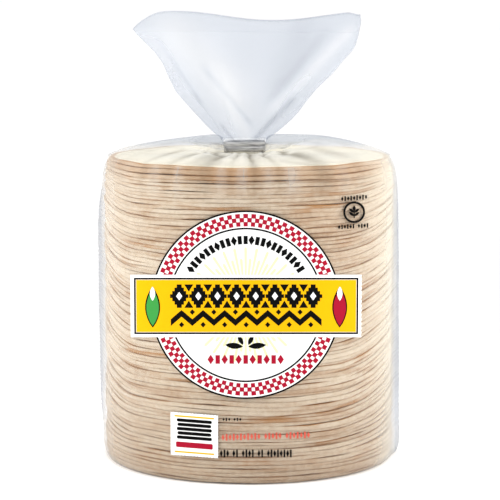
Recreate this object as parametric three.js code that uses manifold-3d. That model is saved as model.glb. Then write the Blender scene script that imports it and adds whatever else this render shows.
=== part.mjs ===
// A stack of eighty corn tortillas in a clear film bag that is gathered and tied over the stack.
// Millimetres, +Z up. The origin is at the centre of the flat base, and the front of the pack faces -Y.
// The bag and what it holds are one closed solid: tortilla edges show in relief round its side, the film
// rises in pleated shoulders to a tied neck, and above the neck it opens out into a folded fan.
import * as THREE from "three";
import { mergeVertices } from "three/addons/utils/BufferGeometryUtils.js";
import Module from "manifold-3d";

const wasm = await Module();
wasm.setup();

// ---- Driving dimensions ----
const TORTILLA_COUNT = 80;
const TORTILLA_RADIUS = 74.2; // a tortilla of a little under 6 inches
const STACK_HEIGHT = 154; // about 1.9 mm for each tortilla
const BAG_HALF_WIDTH = 77.3; // from the axis to the fold line down each side of the bag
const NECK_HALF_WIDTH = 9.1;
const NECK_HALF_DEPTH = 6.5;
const NECK_OFFSET = -2.4; // the neck stands a little to the left of the axis
const NECK_BASE_HEIGHT = 156.2;
const NECK_TOP_HEIGHT = 163;
const MOUTH_HEIGHT = 226.2; // mean height of the bag's open edge
const FILM_WALL = 1.2; // thickness the film is given where it stands free
const TIE_HEIGHT = 4.8; // width of the twist tie's ribbon
const TIE_THICKNESS = 0.7;
const TIE_GAP = 0.35; // between the neck's film and the ribbon

// ---- How finely the surfaces are divided ----
const STACK_SEGMENTS = 28; // round each tortilla's edge
const FILM_SEGMENTS = 2 * STACK_SEGMENTS; // round the shoulders, neck and fan
const SHOULDER_RINGS = [0.96, 0.84, 0.66, 0.44, 0.24, 0.12, 0.066, 0.045]; // shares of the way from the neck
const FAN_RINGS = [0.016, 0.08, 0.18, 0.34, 0.54, 0.77, 1]; // shares of the fan's height
const POCKET_RINGS = [1, 0.8, 0.58, 0.4, 0.28];

// ---- Unevenness of the stack ----
const THICKNESS_SPREAD = 0.3; // share by which one tortilla is thicker or thinner than another
const EDGE_SPREAD = 0.5; // how far one tortilla's edge stands out past another's
const GROOVE_DEPTH = 0.9;
const GROOVE_SPREAD = 0.8;
const BASE_INSET = 1.8; // the lowest edges draw in by this much
const BASE_ROUNDING = 7; // over this height
const TOP_INSET = 2.6;
const TOP_ROUNDING = 9;
const SIDE_LIFT = 10; // the film drags the tortillas' edges up at the two side folds
const SIDE_LIFT_ANGLE = THREE.MathUtils.degToRad(40);
const WAVE_HEIGHT = 0.55;

// A number from 0 to 1 that is always the same for the same n.
function scatter(n) {
  const value = Math.sin(n * 12.9898 + 78.233) * 43758.5453;
  return value - Math.floor(value);
}

// A smooth value at t through stations [[t, value], ...], which are in order of t.
function through(stations, t) {
  const last = stations.length - 1;
  const clamped = THREE.MathUtils.clamp(t, stations[0][0], stations[last][0]);
  let i = 0;
  while (i < last - 1 && clamped > stations[i + 1][0]) i += 1;
  const slope = (k) => {
    const before = stations[Math.max(k - 1, 0)];
    const after = stations[Math.min(k + 1, last)];
    return (after[1] - before[1]) / (after[0] - before[0]);
  };
  const [t0, v0] = stations[i];
  const [t1, v1] = stations[i + 1];
  const span = t1 - t0;
  const s = (clamped - t0) / span;
  const fromStart = v0 * (1 + 2 * s) * (1 - s) ** 2 + slope(i) * span * s * (1 - s) ** 2;
  const fromEnd = v1 * (3 - 2 * s) * s ** 2 - slope(i + 1) * span * s ** 2 * (1 - s);
  return fromStart + fromEnd;
}

// ---- The stack ----

// Shares of the stack's height at which one tortilla ends and the next begins, from 0 to 1.
function tortillaBounds() {
  const bounds = [0];
  for (let k = 0; k < TORTILLA_COUNT; k += 1) {
    bounds.push(bounds[k] + 1 + THICKNESS_SPREAD * (2 * scatter(k) - 1));
  }
  return bounds.map((bound) => bound / bounds[TORTILLA_COUNT]);
}

// How much the edges rise at height share u: nothing at base and top, most three quarters of the way up.
function sideLift(u, angle) {
  const fromSide = Math.acos(Math.abs(Math.cos(angle)));
  if (fromSide >= SIDE_LIFT_ANGLE) return 0;
  const nearness = Math.cos((Math.PI / 2) * (fromSide / SIDE_LIFT_ANGLE)) ** 2;
  return SIDE_LIFT * 1.56 * u * (1 - u ** 6) * nearness;
}

// The slow waves of the tortillas' edges, which die out at the flat base and top.
function edgeWave(u, angle) {
  const free = Math.min(1, 8 * u, 8 * (1 - u));
  const wave =
    0.5 * Math.sin(3 * angle + 5 * u + 1) +
    0.3 * Math.sin(5 * angle - 9 * u + 2) +
    0.3 * Math.sin(8 * angle + 12 * u);
  return WAVE_HEIGHT * free * wave;
}

// How much of the side fold stands out from the stack, over the height.
const LEFT_FOLD = [[0, 0.4], [8, 0.33], [27, 0.82], [59, 0.93], [80, 1], [111, 1], [132, 0.7], [147, 0]];
const RIGHT_FOLD = [[0, 1.2], [17, 1.14], [59, 1], [80, 0.93], [121, 0.79], [140, 0.44], [152, 0]];

// The film's outline seen from above: it hugs the stack and leaves it for a fold at each side.
function filmRadius(angle, z) {
  const foldAngle = Math.acos(TORTILLA_RADIUS / BAG_HALF_WIDTH);
  const fromSide = Math.acos(Math.min(1, Math.abs(Math.cos(angle))));
  if (fromSide >= foldAngle) return TORTILLA_RADIUS;
  const standing = through(Math.cos(angle) < 0 ? LEFT_FOLD : RIGHT_FOLD, z);
  return TORTILLA_RADIUS * (1 + standing * (1 / Math.cos(foldAngle - fromSide) - 1));
}

// How far the outline draws in near the base and the top.
function endInset(z) {
  const base = Math.max(0, 1 - z / BASE_ROUNDING);
  const top = Math.max(0, 1 - (STACK_HEIGHT - z) / TOP_ROUNDING);
  return BASE_INSET * base ** 2 + TOP_INSET * top ** 2;
}

function stackPoint(u, angle, relief) {
  const z = STACK_HEIGHT * u + sideLift(u, angle) + edgeWave(u, angle);
  const radius = filmRadius(angle, z) + relief - endInset(z);
  return new THREE.Vector3(radius * Math.cos(angle), radius * Math.sin(angle), z);
}

function ringOf(segments, pointAt) {
  const points = [];
  for (let i = 0; i < segments; i += 1) {
    points.push(pointAt((2 * Math.PI * i) / segments, i));
  }
  return points;
}

// One ring round each tortilla's edge, and one in the groove between it and the next.
function stackRings() {
  const bounds = tortillaBounds();
  const rings = [ringOf(STACK_SEGMENTS, (angle) => stackPoint(0, angle, -GROOVE_DEPTH))];
  for (let k = 0; k < TORTILLA_COUNT; k += 1) {
    const middle = (bounds[k] + bounds[k + 1]) / 2;
    const standsOut = EDGE_SPREAD * (scatter(200 + k) - 0.5);
    const lean = 2 * Math.PI * scatter(400 + k);
    rings.push(
      ringOf(STACK_SEGMENTS, (angle) =>
        stackPoint(middle, angle, standsOut + EDGE_SPREAD * Math.cos(angle - lean)),
      ),
    );
    if (k === TORTILLA_COUNT - 1) break;
    rings.push(
      ringOf(STACK_SEGMENTS, (angle, i) =>
        stackPoint(bounds[k + 1], angle, -GROOVE_DEPTH - GROOVE_SPREAD * scatter(31 * k + i)),
      ),
    );
  }
  return rings;
}

// ---- The film over the stack ----

// Height of the film over the share of the way from the neck (0) out to the stack's rim (1): it lies on
// the top tortilla in front and behind, and stands up in a ridge from the neck to each side fold.
const SHOULDER_FLAT = [
  [0, NECK_BASE_HEIGHT],
  [0.045, NECK_BASE_HEIGHT],
  [0.13, 156.5],
  [0.44, 156.3],
  [0.66, 156],
  [0.84, 155.5],
  [0.96, 154.6],
];
const SHOULDER_RIDGE = [
  [0, NECK_BASE_HEIGHT],
  [0.045, NECK_BASE_HEIGHT + 0.6],
  [0.066, 164.6],
  [0.12, 165.6],
  [0.24, 165.2],
  [0.44, 164.1],
  [0.66, 161.2],
  [0.84, 157.9],
  [0.96, 154.8],
];
const RIDGE_SHARPNESS = 1.7; // how narrow the ridge is, away from the neck
const NECK_SHARPNESS = 8; // and how much narrower close to it
const PLEAT_HEIGHT = 1;

function pleat(angle) {
  return 0.6 * Math.sin(11 * angle + 0.7) + 0.4 * Math.sin(17 * angle + 2.1);
}

function shoulderPoint(out, angle) {
  const x = Math.cos(angle) * THREE.MathUtils.lerp(NECK_HALF_WIDTH, TORTILLA_RADIUS, out);
  const y = Math.sin(angle) * THREE.MathUtils.lerp(NECK_HALF_DEPTH, TORTILLA_RADIUS, out);
  const sharpness = RIDGE_SHARPNESS + NECK_SHARPNESS * (1 - THREE.MathUtils.smoothstep(out, 0.03, 0.25));
  const ridge = Math.abs(Math.cos(angle)) ** sharpness;
  const free = 1 - THREE.MathUtils.smoothstep(out, 0.6, 0.96);
  const z =
    THREE.MathUtils.lerp(through(SHOULDER_FLAT, out), through(SHOULDER_RIDGE, out), ridge) +
    PLEAT_HEIGHT * free * THREE.MathUtils.smoothstep(out, 0.08, 0.3) * pleat(angle);
  return new THREE.Vector3(NECK_OFFSET * (1 - out) + x, y, z);
}

function neckPoint(z, angle) {
  const gathered = 1 + 0.04 * Math.sin(14 * angle);
  return new THREE.Vector3(
    NECK_OFFSET + NECK_HALF_WIDTH * gathered * Math.cos(angle),
    NECK_HALF_DEPTH * gathered * Math.sin(angle),
    z,
  );
}

// ---- The fan above the neck ----

// Half-widths to the left and right of the neck, and half-depths, over the height above the neck.
const FAN_LEFT = [
  [0, 9.1], [1, 12.8], [5, 17.4], [13, 25], [24, 34.6], [33, 39.2], [41, 43.2], [49, 50.2], [56.5, 57.2],
];
const FAN_RIGHT = [
  [0, 9.1], [1, 12.9], [4.3, 17.2], [8.4, 22.1], [12.5, 26.3], [20.7, 32.6], [33, 44.3], [45.2, 54.9],
  [49.2, 57], [60, 59.3],
];
const FAN_DEPTH = [[0, 6.5], [1, 7.4], [8, 9.5], [30, 13.5], [64, 17]];

// The folds run out from the neck. How far each sheet stands out from its mean depth (1: on a ridge, -1:
// in a crease), over the share of the half-width, and the height of those ridges above the neck.
const FRONT_FOLDS = [
  [-1, 0], [-0.88, -0.4], [-0.7, 0.7], [-0.42, -0.8], [-0.05, 0.6], [0.3, 0.5], [0.58, -0.9],
  [0.8, 0.8], [1, 0],
];
const BACK_FOLDS = [
  [-1, 0], [-0.8, 0.8], [-0.45, -0.7], [-0.1, 0.6], [0.25, -0.7], [0.6, 0.9], [0.85, -0.4], [1, 0],
];
const FOLD_HEIGHT = [[0, 0.2], [10, 1], [30, 2.4], [64, 3.8]];
const MOUTH_WAVE = 2.3;
const LEFT_CORNER_DROP = 7.4; // the open edge's left corner hangs lower than its right one
const LEFT_CORNER_START = 0.68; // share of the half-width where it begins to hang
const RIGHT_CORNER_DROP = 1.6;

// Share of the half-width (-1 to 1) at a turn round the film: evenly spread where the folds are deep.
function fanShare(angle, rise) {
  const even = 1 - Math.abs(1 - angle / Math.PI) - 0.5;
  const spread = 0.8 * THREE.MathUtils.smoothstep(rise, 0, 14);
  return THREE.MathUtils.lerp(Math.cos(angle), -2 * even, spread);
}

function fanPoint(height, angle) {
  const rise = height * mouthRise(fanShare(angle, 64));
  const share = fanShare(angle, rise);
  const halfWidth = through(share < 0 ? FAN_LEFT : FAN_RIGHT, rise);
  const side = angle > Math.PI ? -1 : 1;
  const folds = through(side < 0 ? FRONT_FOLDS : BACK_FOLDS, share);
  const depth = through(FAN_DEPTH, rise) + through(FOLD_HEIGHT, rise) * folds;
  const taper = Math.max(0, 1 - share ** 2) ** 0.6;
  return new THREE.Vector3(
    NECK_OFFSET + halfWidth * share,
    side * taper * depth,
    NECK_TOP_HEIGHT + rise,
  );
}

// Height of the open edge above the neck: a low dip right of the middle and a hanging left corner.
function mouthRise(share) {
  const dip = MOUTH_WAVE * Math.cos(3.6 * (share - 0.25));
  const hanging = Math.max(0, (-share - LEFT_CORNER_START) / (1 - LEFT_CORNER_START)) ** 2.2;
  const rounded = THREE.MathUtils.smoothstep(share, 0.88, 1);
  const drop = LEFT_CORNER_DROP * hanging + RIGHT_CORNER_DROP * rounded;
  return MOUTH_HEIGHT - NECK_TOP_HEIGHT - dip - drop;
}

// The ring drawn in by a distance, square to its own outline as seen from above.
function drawnIn(ring, distance) {
  return ring.map((point, i) => {
    const before = ring[(i + ring.length - 1) % ring.length];
    const after = ring[(i + 1) % ring.length];
    const along = new THREE.Vector3(after.x - before.x, after.y - before.y, 0).normalize();
    return new THREE.Vector3(point.x - distance * along.y, point.y + distance * along.x, point.z);
  });
}

const fanRing = (height) => ringOf(FILM_SEGMENTS, (angle) => fanPoint(height, angle));

// The open mouth goes down inside the fan and ends where the film's sheets come together.
const pocketRing = (height) => drawnIn(fanRing(height), FILM_WALL * (1 + 1.2 * (1 - height)));

// ---- Turning rings into solids ----

// A closed body from rings stacked base to top, each turning from +X towards +Y. A ring may have twice
// as many points as the one below it. With ends "closed" the last ring joins the first instead of a cap.
function bodyOf(rings, ends = "capped") {
  const vertices = rings.flat();
  const starts = [];
  rings.reduce((start, ring) => {
    starts.push(start);
    return start + ring.length;
  }, 0);
  const faces = [];
  const at = (ring, i) => starts[ring] + (i % rings[ring].length);
  const join = (low, high) => {
    const doubled = rings[high].length === 2 * rings[low].length;
    for (let i = 0; i < rings[low].length; i += 1) {
      const a = at(low, i);
      const b = at(low, i + 1);
      if (doubled) {
        const [c, d, e] = [at(high, 2 * i), at(high, 2 * i + 1), at(high, 2 * i + 2)];
        faces.push(a, d, c, a, b, d, b, e, d);
      } else {
        faces.push(a, b, at(high, i + 1), a, at(high, i + 1), at(high, i));
      }
    }
  };
  for (let k = 0; k + 1 < rings.length; k += 1) join(k, k + 1);
  if (ends === "closed") {
    join(rings.length - 1, 0);
  } else {
    for (const [ring, base] of [[0, true], [rings.length - 1, false]]) {
      const middle = vertices.length;
      vertices.push(
        rings[ring]
          .reduce((sum, point) => sum.add(point), new THREE.Vector3())
          .divideScalar(rings[ring].length),
      );
      for (let i = 0; i < rings[ring].length; i += 1) {
        const edge = base ? [at(ring, i + 1), at(ring, i)] : [at(ring, i), at(ring, i + 1)];
        faces.push(...edge, middle);
      }
    }
  }
  return new THREE.BufferGeometry().setFromPoints(vertices).setIndex(faces);
}

// The three shapes of the tie are joined into one solid.
function joined(geometries) {
  const solids = geometries.map((geometry) => {
    const merged = mergeVertices(geometry, 1e-4);
    return new wasm.Manifold(
      new wasm.Mesh({
        numProp: 3,
        vertProperties: merged.getAttribute("position").array,
        triVerts: new Uint32Array(merged.getIndex().array),
      }),
    );
  });
  const mesh = solids.reduce((sum, solid) => sum.add(solid)).getMesh();
  return new THREE.BufferGeometry()
    .setAttribute("position", new THREE.BufferAttribute(mesh.vertProperties, 3))
    .setIndex(new THREE.BufferAttribute(mesh.triVerts, 1));
}

// ---- The bag ----

function bagGeometry() {
  const shoulders = SHOULDER_RINGS.map((out) =>
    ringOf(FILM_SEGMENTS, (angle) => shoulderPoint(out, angle)),
  );
  const neck = [NECK_BASE_HEIGHT, NECK_TOP_HEIGHT].map((z) =>
    ringOf(FILM_SEGMENTS, (angle) => neckPoint(z, angle)),
  );
  return bodyOf([
    ...stackRings(),
    ...shoulders,
    ...neck,
    ...FAN_RINGS.map(fanRing),
    ...POCKET_RINGS.map(pocketRing),
  ]);
}

// ---- The twist tie ----

const TIE_BASE = NECK_BASE_HEIGHT + 1.35;
const TIE_SEGMENTS = 40;
const GATHER_REACH = 1.04; // the loop clears the neck's gathers by this factor
const LOOP_SQUARENESS = 0.75; // 1 is an oval, less is closer to a rectangle
const WIRE_RADIUS = 0.55; // the wire's ridge along the middle of the ribbon
const TAIL_LENGTH = 14;
const TAIL_WIDTH_SHARE = 0.6; // of the ribbon's width, because it is crushed together there
const TAIL_TURNS = 2.5;
const TAIL_STEPS = 30;
const TAIL_SLOPE = THREE.MathUtils.degToRad(-1); // it lies low over the film behind the neck
const END_LENGTH = 7;
const END_SPREAD = THREE.MathUtils.degToRad(34);

// The ribbon's section, as [distance from the neck's film, height]: two flat wings and the wire between.
function ribbonSection() {
  const middle = TIE_HEIGHT / 2;
  return [
    [0, 0],
    [TIE_THICKNESS, 0],
    [TIE_THICKNESS, middle - WIRE_RADIUS],
    [TIE_THICKNESS + WIRE_RADIUS, middle],
    [TIE_THICKNESS, middle + WIRE_RADIUS],
    [TIE_THICKNESS, TIE_HEIGHT],
    [0, TIE_HEIGHT],
  ];
}

// The loop is flatter in front and behind than the neck's oval, and rounder at its two sides.
function ribbonLoop() {
  const rings = ribbonSection().map(([out, height]) =>
    ringOf(TIE_SEGMENTS, (angle) => {
      const gap = TIE_GAP + out;
      const across = Math.sign(Math.cos(angle)) * Math.abs(Math.cos(angle)) ** LOOP_SQUARENESS;
      return new THREE.Vector3(
        NECK_OFFSET + (NECK_HALF_WIDTH * GATHER_REACH + gap) * across,
        (NECK_HALF_DEPTH * GATHER_REACH + gap) * Math.sin(angle),
        TIE_BASE + height,
      );
    }),
  );
  return bodyOf(rings, "closed");
}

// A flat bar along a straight line from start, turning about that line by turns over its length.
function flatBar(start, direction, length, width, thickness, turns, steps) {
  const side = new THREE.Vector3().crossVectors(direction, new THREE.Vector3(0, 0, 1)).normalize();
  const up = new THREE.Vector3().crossVectors(side, direction);
  const corners = [[-1, -1], [-1, 1], [1, 1], [1, -1]];
  const rings = [];
  for (let k = 0; k <= steps; k += 1) {
    const turn = (2 * Math.PI * turns * k) / steps;
    rings.push(
      corners.map(([across, deep]) => {
        const a = (across * width) / 2;
        const b = (deep * thickness) / 2;
        return start
          .clone()
          .addScaledVector(direction, (length * k) / steps)
          .addScaledVector(side, a * Math.cos(turn) - b * Math.sin(turn))
          .addScaledVector(up, a * Math.sin(turn) + b * Math.cos(turn));
      }),
    );
  }
  return bodyOf(rings);
}

// The ribbon's two ends are twisted together behind the neck and then part.
function tieGeometry() {
  const root = new THREE.Vector3(
    NECK_OFFSET,
    NECK_HALF_DEPTH * GATHER_REACH + TIE_GAP + TIE_THICKNESS / 2,
    TIE_BASE + TIE_HEIGHT / 2,
  );
  const along = new THREE.Vector3(0, Math.cos(TAIL_SLOPE), Math.sin(TAIL_SLOPE));
  const width = TAIL_WIDTH_SHARE * TIE_HEIGHT;
  const twist = flatBar(root, along, TAIL_LENGTH, width, 2 * TIE_THICKNESS, TAIL_TURNS, TAIL_STEPS);
  const fork = root.clone().addScaledVector(along, TAIL_LENGTH - 1);
  const ends = [-1, 1].map((side) => {
    const direction = along.clone().applyAxisAngle(new THREE.Vector3(0, 0, 1), side * END_SPREAD);
    return flatBar(fork, direction, END_LENGTH, width, TIE_THICKNESS, 0.08, 3);
  });
  return joined([ribbonLoop(), twist, ...ends]);
}

// ---- The part ----

const filmMaterial = new THREE.MeshStandardMaterial({
  color: 0xe8d8bf, // tortillas seen through clear film
  roughness: 0.45,
  metalness: 0,
});
const tieMaterial = new THREE.MeshStandardMaterial({
  color: 0xb4b4b2,
  roughness: 0.4,
  metalness: 0.3,
});

const bag = new THREE.Mesh(bagGeometry(), filmMaterial);
bag.name = "bag";
const tie = new THREE.Mesh(tieGeometry(), tieMaterial);
tie.name = "tie";

// The axis stands in the middle of the pack's outline, uneven as its edges are.
bag.geometry.computeBoundingBox();
const centre = bag.geometry.boundingBox.getCenter(new THREE.Vector3());
const pack = new THREE.Group();
pack.add(bag, tie);
pack.position.set(-centre.x, -centre.y, 0);

const part = new THREE.Group();
part.add(pack);
export default part;
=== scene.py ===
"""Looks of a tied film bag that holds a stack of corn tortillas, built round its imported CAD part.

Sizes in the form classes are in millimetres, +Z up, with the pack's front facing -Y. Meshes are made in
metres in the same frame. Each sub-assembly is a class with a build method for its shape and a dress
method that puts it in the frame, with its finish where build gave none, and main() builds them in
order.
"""

from __future__ import annotations

import logging
import math
from dataclasses import dataclass, field
from enum import Enum
from functools import reduce
from typing import Any, Iterable, Mapping, Sequence

import bmesh
import bpy
import numpy as np
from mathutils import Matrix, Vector

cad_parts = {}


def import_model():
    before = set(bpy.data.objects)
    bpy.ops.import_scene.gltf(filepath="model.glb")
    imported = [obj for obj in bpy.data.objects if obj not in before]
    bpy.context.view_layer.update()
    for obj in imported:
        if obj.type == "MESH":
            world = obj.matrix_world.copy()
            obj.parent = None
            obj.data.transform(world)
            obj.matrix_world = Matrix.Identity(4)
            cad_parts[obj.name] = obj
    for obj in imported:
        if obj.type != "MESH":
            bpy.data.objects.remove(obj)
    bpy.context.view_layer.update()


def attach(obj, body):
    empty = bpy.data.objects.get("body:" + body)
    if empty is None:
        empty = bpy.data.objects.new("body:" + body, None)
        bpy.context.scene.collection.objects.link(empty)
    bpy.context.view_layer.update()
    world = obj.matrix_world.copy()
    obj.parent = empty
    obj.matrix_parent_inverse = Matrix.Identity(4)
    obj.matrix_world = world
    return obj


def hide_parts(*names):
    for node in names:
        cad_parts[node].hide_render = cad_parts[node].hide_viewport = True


LOG = logging.getLogger("scene")
MM = 0.001
TAU = 2 * math.pi

Point2 = tuple[float, float]
Point3 = tuple[float, float, float]
Colour = tuple[float, float, float]
Outline = list[Point2]
Stations = Sequence[Point2]
Values = np.ndarray | float
Socket = bpy.types.NodeSocket
Tree = bpy.types.NodeTree
Material = bpy.types.Material
Piece = bpy.types.Object


# ---- Numbers ----


def scatter(n: float) -> float:
    """Gives a number from 0 to 1 that looks random and is always the same for the same n."""
    value = math.sin(n * 12.9898 + 78.233) * 43758.5453
    return value - math.floor(value)


def through(stations: Stations, t: Values) -> np.ndarray:
    """Gives the smooth value at t through stations.

    Args:
        stations: Pairs of place and value, in order of place.
        t: The places to read.

    Returns:
        The values, in the shape of t.
    """
    places, values = np.array(stations, float).T
    last = len(places) - 1
    order = np.arange(last + 1)
    before, after = np.maximum(order - 1, 0), np.minimum(order + 1, last)
    slopes = (values[after] - values[before]) / (places[after] - places[before])
    t = np.clip(np.asarray(t, float), places[0], places[-1])
    i = np.clip(np.searchsorted(places, t, side="left") - 1, 0, last - 1)
    span = places[i + 1] - places[i]
    s = (t - places[i]) / span
    start = values[i] * (1 + 2 * s) * (1 - s) ** 2 + slopes[i] * span * s * (1 - s) ** 2
    end = values[i + 1] * (3 - 2 * s) * s**2 - slopes[i + 1] * span * s**2 * (1 - s)
    return start + end


def ease(t: Values, low: float, high: float) -> np.ndarray:
    """Gives a smooth step from 0 at low to 1 at high."""
    s = np.clip((np.asarray(t, float) - low) / (high - low), 0, 1)
    return s * s * (3 - 2 * s)


def ripple(angle: np.ndarray, waves: Iterable[Point3]) -> np.ndarray:
    """Adds up sine waves, each given by its height, its count round the circle and its phase."""
    return sum(height * np.sin(count * angle + phase) for height, count, phase in waves)


def from_side(angle: np.ndarray) -> np.ndarray:
    """Gives how far a place round the stack is turned from the nearer end of the X axis."""
    return np.arccos(np.clip(np.abs(np.cos(angle)), 0, 1))


def turns_round(n: int) -> np.ndarray:
    """Gives n even turns round a circle, in radians."""
    return np.arange(n) * TAU / n


def join(x: Values, y: Values, z: Values) -> np.ndarray:
    """Joins coordinates to points, where a single number stands for every point."""
    return np.stack(np.broadcast_arrays(x, y, z), axis=1)


# ---- Node trees ----


def sockets(kind: str, *names: str) -> list[tuple[str, str]]:
    """Lists named sockets of one kind, such as Float or Color."""
    return [(name, "NodeSocket" + kind) for name in names]


@dataclass
class Graph:
    """Adds nodes to a node tree in few words. Where a value is Any, it's a socket or a constant."""

    tree: Tree

    def add(
        self,
        kind: str,
        settings: Mapping[str, Any] | None = None,
        inputs: Mapping[int | str, Any] | None = None,
    ) -> bpy.types.Node:
        """Adds one node.

        Args:
            kind: The node's type name.
            settings: Its own properties.
            inputs: Values of its inputs, by name or number.

        Returns:
            The node.
        """
        node = self.tree.nodes.new(kind)
        for name, value in (settings or {}).items():
            setattr(node, name, value)
        for key, value in (inputs or {}).items():
            self.feed(node.inputs[key], value)
        return node

    def out(self, kind: str, inputs: Mapping[int | str, Any] | None = None, **settings: Any) -> Socket:
        """Adds one node and gives its first output."""
        return self.add(kind, settings, inputs).outputs[0]

    def feed(self, socket: Socket, value: Any) -> None:
        """Links a socket to an input, or sets the input's constant.

        Args:
            socket: The input.
            value: What goes in.
        """
        if isinstance(value, Socket):
            self.tree.links.new(value, socket)
        elif isinstance(value, tuple) and len(value) == 3 and socket.type == "RGBA":
            socket.default_value = (*value, 1.0)
        else:
            socket.default_value = value

    def math(self, operation: str, *values: Any, clamp: bool = False) -> Socket:
        """Adds a Math node, whose result clamp keeps from 0 to 1."""
        return self.out(
            "ShaderNodeMath", dict(enumerate(values)), operation=operation, use_clamp=clamp
        )

    def product(self, *values: Any) -> Socket:
        """Multiplies the values."""
        return reduce(lambda first, second: self.math("MULTIPLY", first, second), values)

    def line(self, value: Any, slope: Any, base: Any) -> Socket:
        """Gives value times slope, plus base."""
        return self.math("MULTIPLY_ADD", value, slope, base)

    def blend(self, factor: Any, first: Any, second: Any, mode: str = "MIX") -> Socket:
        """Mixes two colours, the second one as much as factor says."""
        settings = {"data_type": "RGBA", "blend_type": mode}
        return self.add("ShaderNodeMix", settings, {0: factor, 6: first, 7: second}).outputs[2]

    def mix(self, factor: Any, first: Socket, second: Socket) -> Socket:
        """Mixes two shaders, the second one as much as factor says."""
        return self.out("ShaderNodeMixShader", {0: factor, 1: first, 2: second})

    def span(self, value: Any, low: float, high: float, to_low: float = 0, to_high: float = 1) -> Socket:
        """Maps low to to_low and high to to_high, smoothly between them and even past them."""
        inputs = {0: value, 1: low, 2: high, 3: to_low, 4: to_high}
        return self.out("ShaderNodeMapRange", inputs, interpolation_type="SMOOTHSTEP")

    def place(self) -> Socket:
        """Gives the place on the object, in metres."""
        return self.add("ShaderNodeTexCoord").outputs["Object"]

    def attribute(self, name: str) -> Socket:
        """Gives a number stored on the mesh."""
        return self.add("ShaderNodeAttribute", {"attribute_name": name}).outputs["Fac"]

    def xyz(self, x: Any = 0.0, y: Any = 0.0, z: Any = 0.0) -> Socket:
        """Makes a vector of three numbers."""
        return self.out("ShaderNodeCombineXYZ", {0: x, 1: y, 2: z})

    def stretch(self, vector: Socket, *by: float) -> Socket:
        """Multiplies a vector's three parts by three numbers."""
        return self.out("ShaderNodeVectorMath", {0: vector, 1: by}, operation="MULTIPLY")

    def noise(self, vector: Socket, scale: float, detail: float, roughness: float = 0.5) -> Socket:
        """Gives noise at a vector."""
        inputs = {"Vector": vector, "Scale": scale, "Detail": detail, "Roughness": roughness}
        return self.out("ShaderNodeTexNoise", inputs)

    def group(self, tree: Tree, inputs: Mapping[str, Any]) -> bpy.types.NodeOutputs:
        """Adds a shader node group and gives its outputs.

        Args:
            tree: The group.
            inputs: Values of its inputs, by name.

        Returns:
            Its outputs.
        """
        return self.add("ShaderNodeGroup", {"node_tree": tree}, inputs).outputs

    def real(self, geometry: Socket, material: Socket) -> Socket:
        """Ends a geometry tree: makes its instances real and gives them their material."""
        real = self.out("GeometryNodeRealizeInstances", {0: geometry})
        return self.out("GeometryNodeSetMaterial", {"Geometry": real, "Material": material})

    def show(self, shader: Socket) -> None:
        """Makes a shader the material's surface."""
        self.add("ShaderNodeOutputMaterial", inputs={0: shader})

    def paint(
        self, colour: Any, roughness: float, specular: float, more: Mapping[str, Any] | None = None
    ) -> None:
        """Makes an opaque surface, with more inputs of its Principled node by name."""
        inputs = {"Base Color": colour, "Roughness": roughness, "Specular IOR Level": specular}
        self.show(self.out("ShaderNodeBsdfPrincipled", {**inputs, **(more or {})}))


def new_group(
    name: str, kind: str, inputs: Sequence[tuple[str, str]], outputs: Sequence[tuple[str, str]]
) -> tuple[Graph, bpy.types.NodeOutputs, bpy.types.NodeInputs]:
    """Makes a node group with named sockets.

    Args:
        name: The group's name.
        kind: ShaderNodeTree or GeometryNodeTree.
        inputs: Name and type of each input.
        outputs: Name and type of each output.

    Returns:
        A Graph on the group, what is given to it, and what it has to make.
    """
    tree = bpy.data.node_groups.new(name, kind)
    for way, labels in (("INPUT", inputs), ("OUTPUT", outputs)):
        for label, socket in labels:
            tree.interface.new_socket(name=label, in_out=way, socket_type=socket)
    graph = Graph(tree)
    return graph, graph.add("NodeGroupInput").outputs, graph.add("NodeGroupOutput").inputs


def new_material(name: str) -> tuple[Material, Graph]:
    """Makes an empty material.

    Args:
        name: The material's name.

    Returns:
        The material and a Graph on its tree.
    """
    material = bpy.data.materials.new(name)
    material.use_nodes = True
    material.node_tree.nodes.clear()
    return material, Graph(material.node_tree)


def run_geometry_tree(piece: Piece, tree: Tree, inputs: Mapping[str, Any]) -> None:
    """Runs a geometry node tree on a piece and keeps the result as its plain mesh.

    Args:
        piece: The piece.
        tree: The tree.
        inputs: Values of the tree's named inputs.
    """
    modifier = piece.modifiers.new(tree.name, "NODES")
    modifier.node_group = tree
    for item in tree.interface.items_tree:
        if item.item_type == "SOCKET" and item.in_out == "INPUT" and item.name in inputs:
            modifier[item.identifier] = inputs[item.name]
    piece.data.update()
    bpy.context.view_layer.update()
    depsgraph = bpy.context.evaluated_depsgraph_get()
    made = bpy.data.meshes.new_from_object(
        piece.evaluated_get(depsgraph), preserve_all_data_layers=True, depsgraph=depsgraph
    )
    piece.modifiers.remove(modifier)
    old, piece.data = piece.data, made
    made.name = piece.name
    bpy.data.meshes.remove(old)


# ---- Meshes ----


def new_object(name: str, data: bpy.types.ID) -> Piece:
    """Makes an object of a mesh, a lamp or a camera and puts it in the scene.

    Args:
        name: The object's name.
        data: What it shows.

    Returns:
        The object.
    """
    made = bpy.data.objects.new(name, data)
    bpy.context.scene.collection.objects.link(made)
    return made


def new_piece(
    name: str, points: np.ndarray, faces: Sequence[Sequence[int]], smooth: bool = True
) -> Piece:
    """Makes a mesh piece from points in millimetres.

    Args:
        name: The piece's name.
        points: Its vertices, in millimetres.
        faces: Vertex numbers of each face.
        smooth: Whether it's shaded smooth.

    Returns:
        The piece, in the scene.
    """
    mesh = bpy.data.meshes.new(name)
    mesh.from_pydata((np.asarray(points) * MM).tolist(), [], [list(f) for f in faces])
    mesh.validate()
    shade(mesh, smooth)
    mesh.update()
    return new_object(name, mesh)


def report(piece: Piece) -> None:
    """Logs how large a finished piece is."""
    LOG.info("%s: %d faces", piece.name, len(piece.data.polygons))


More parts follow.
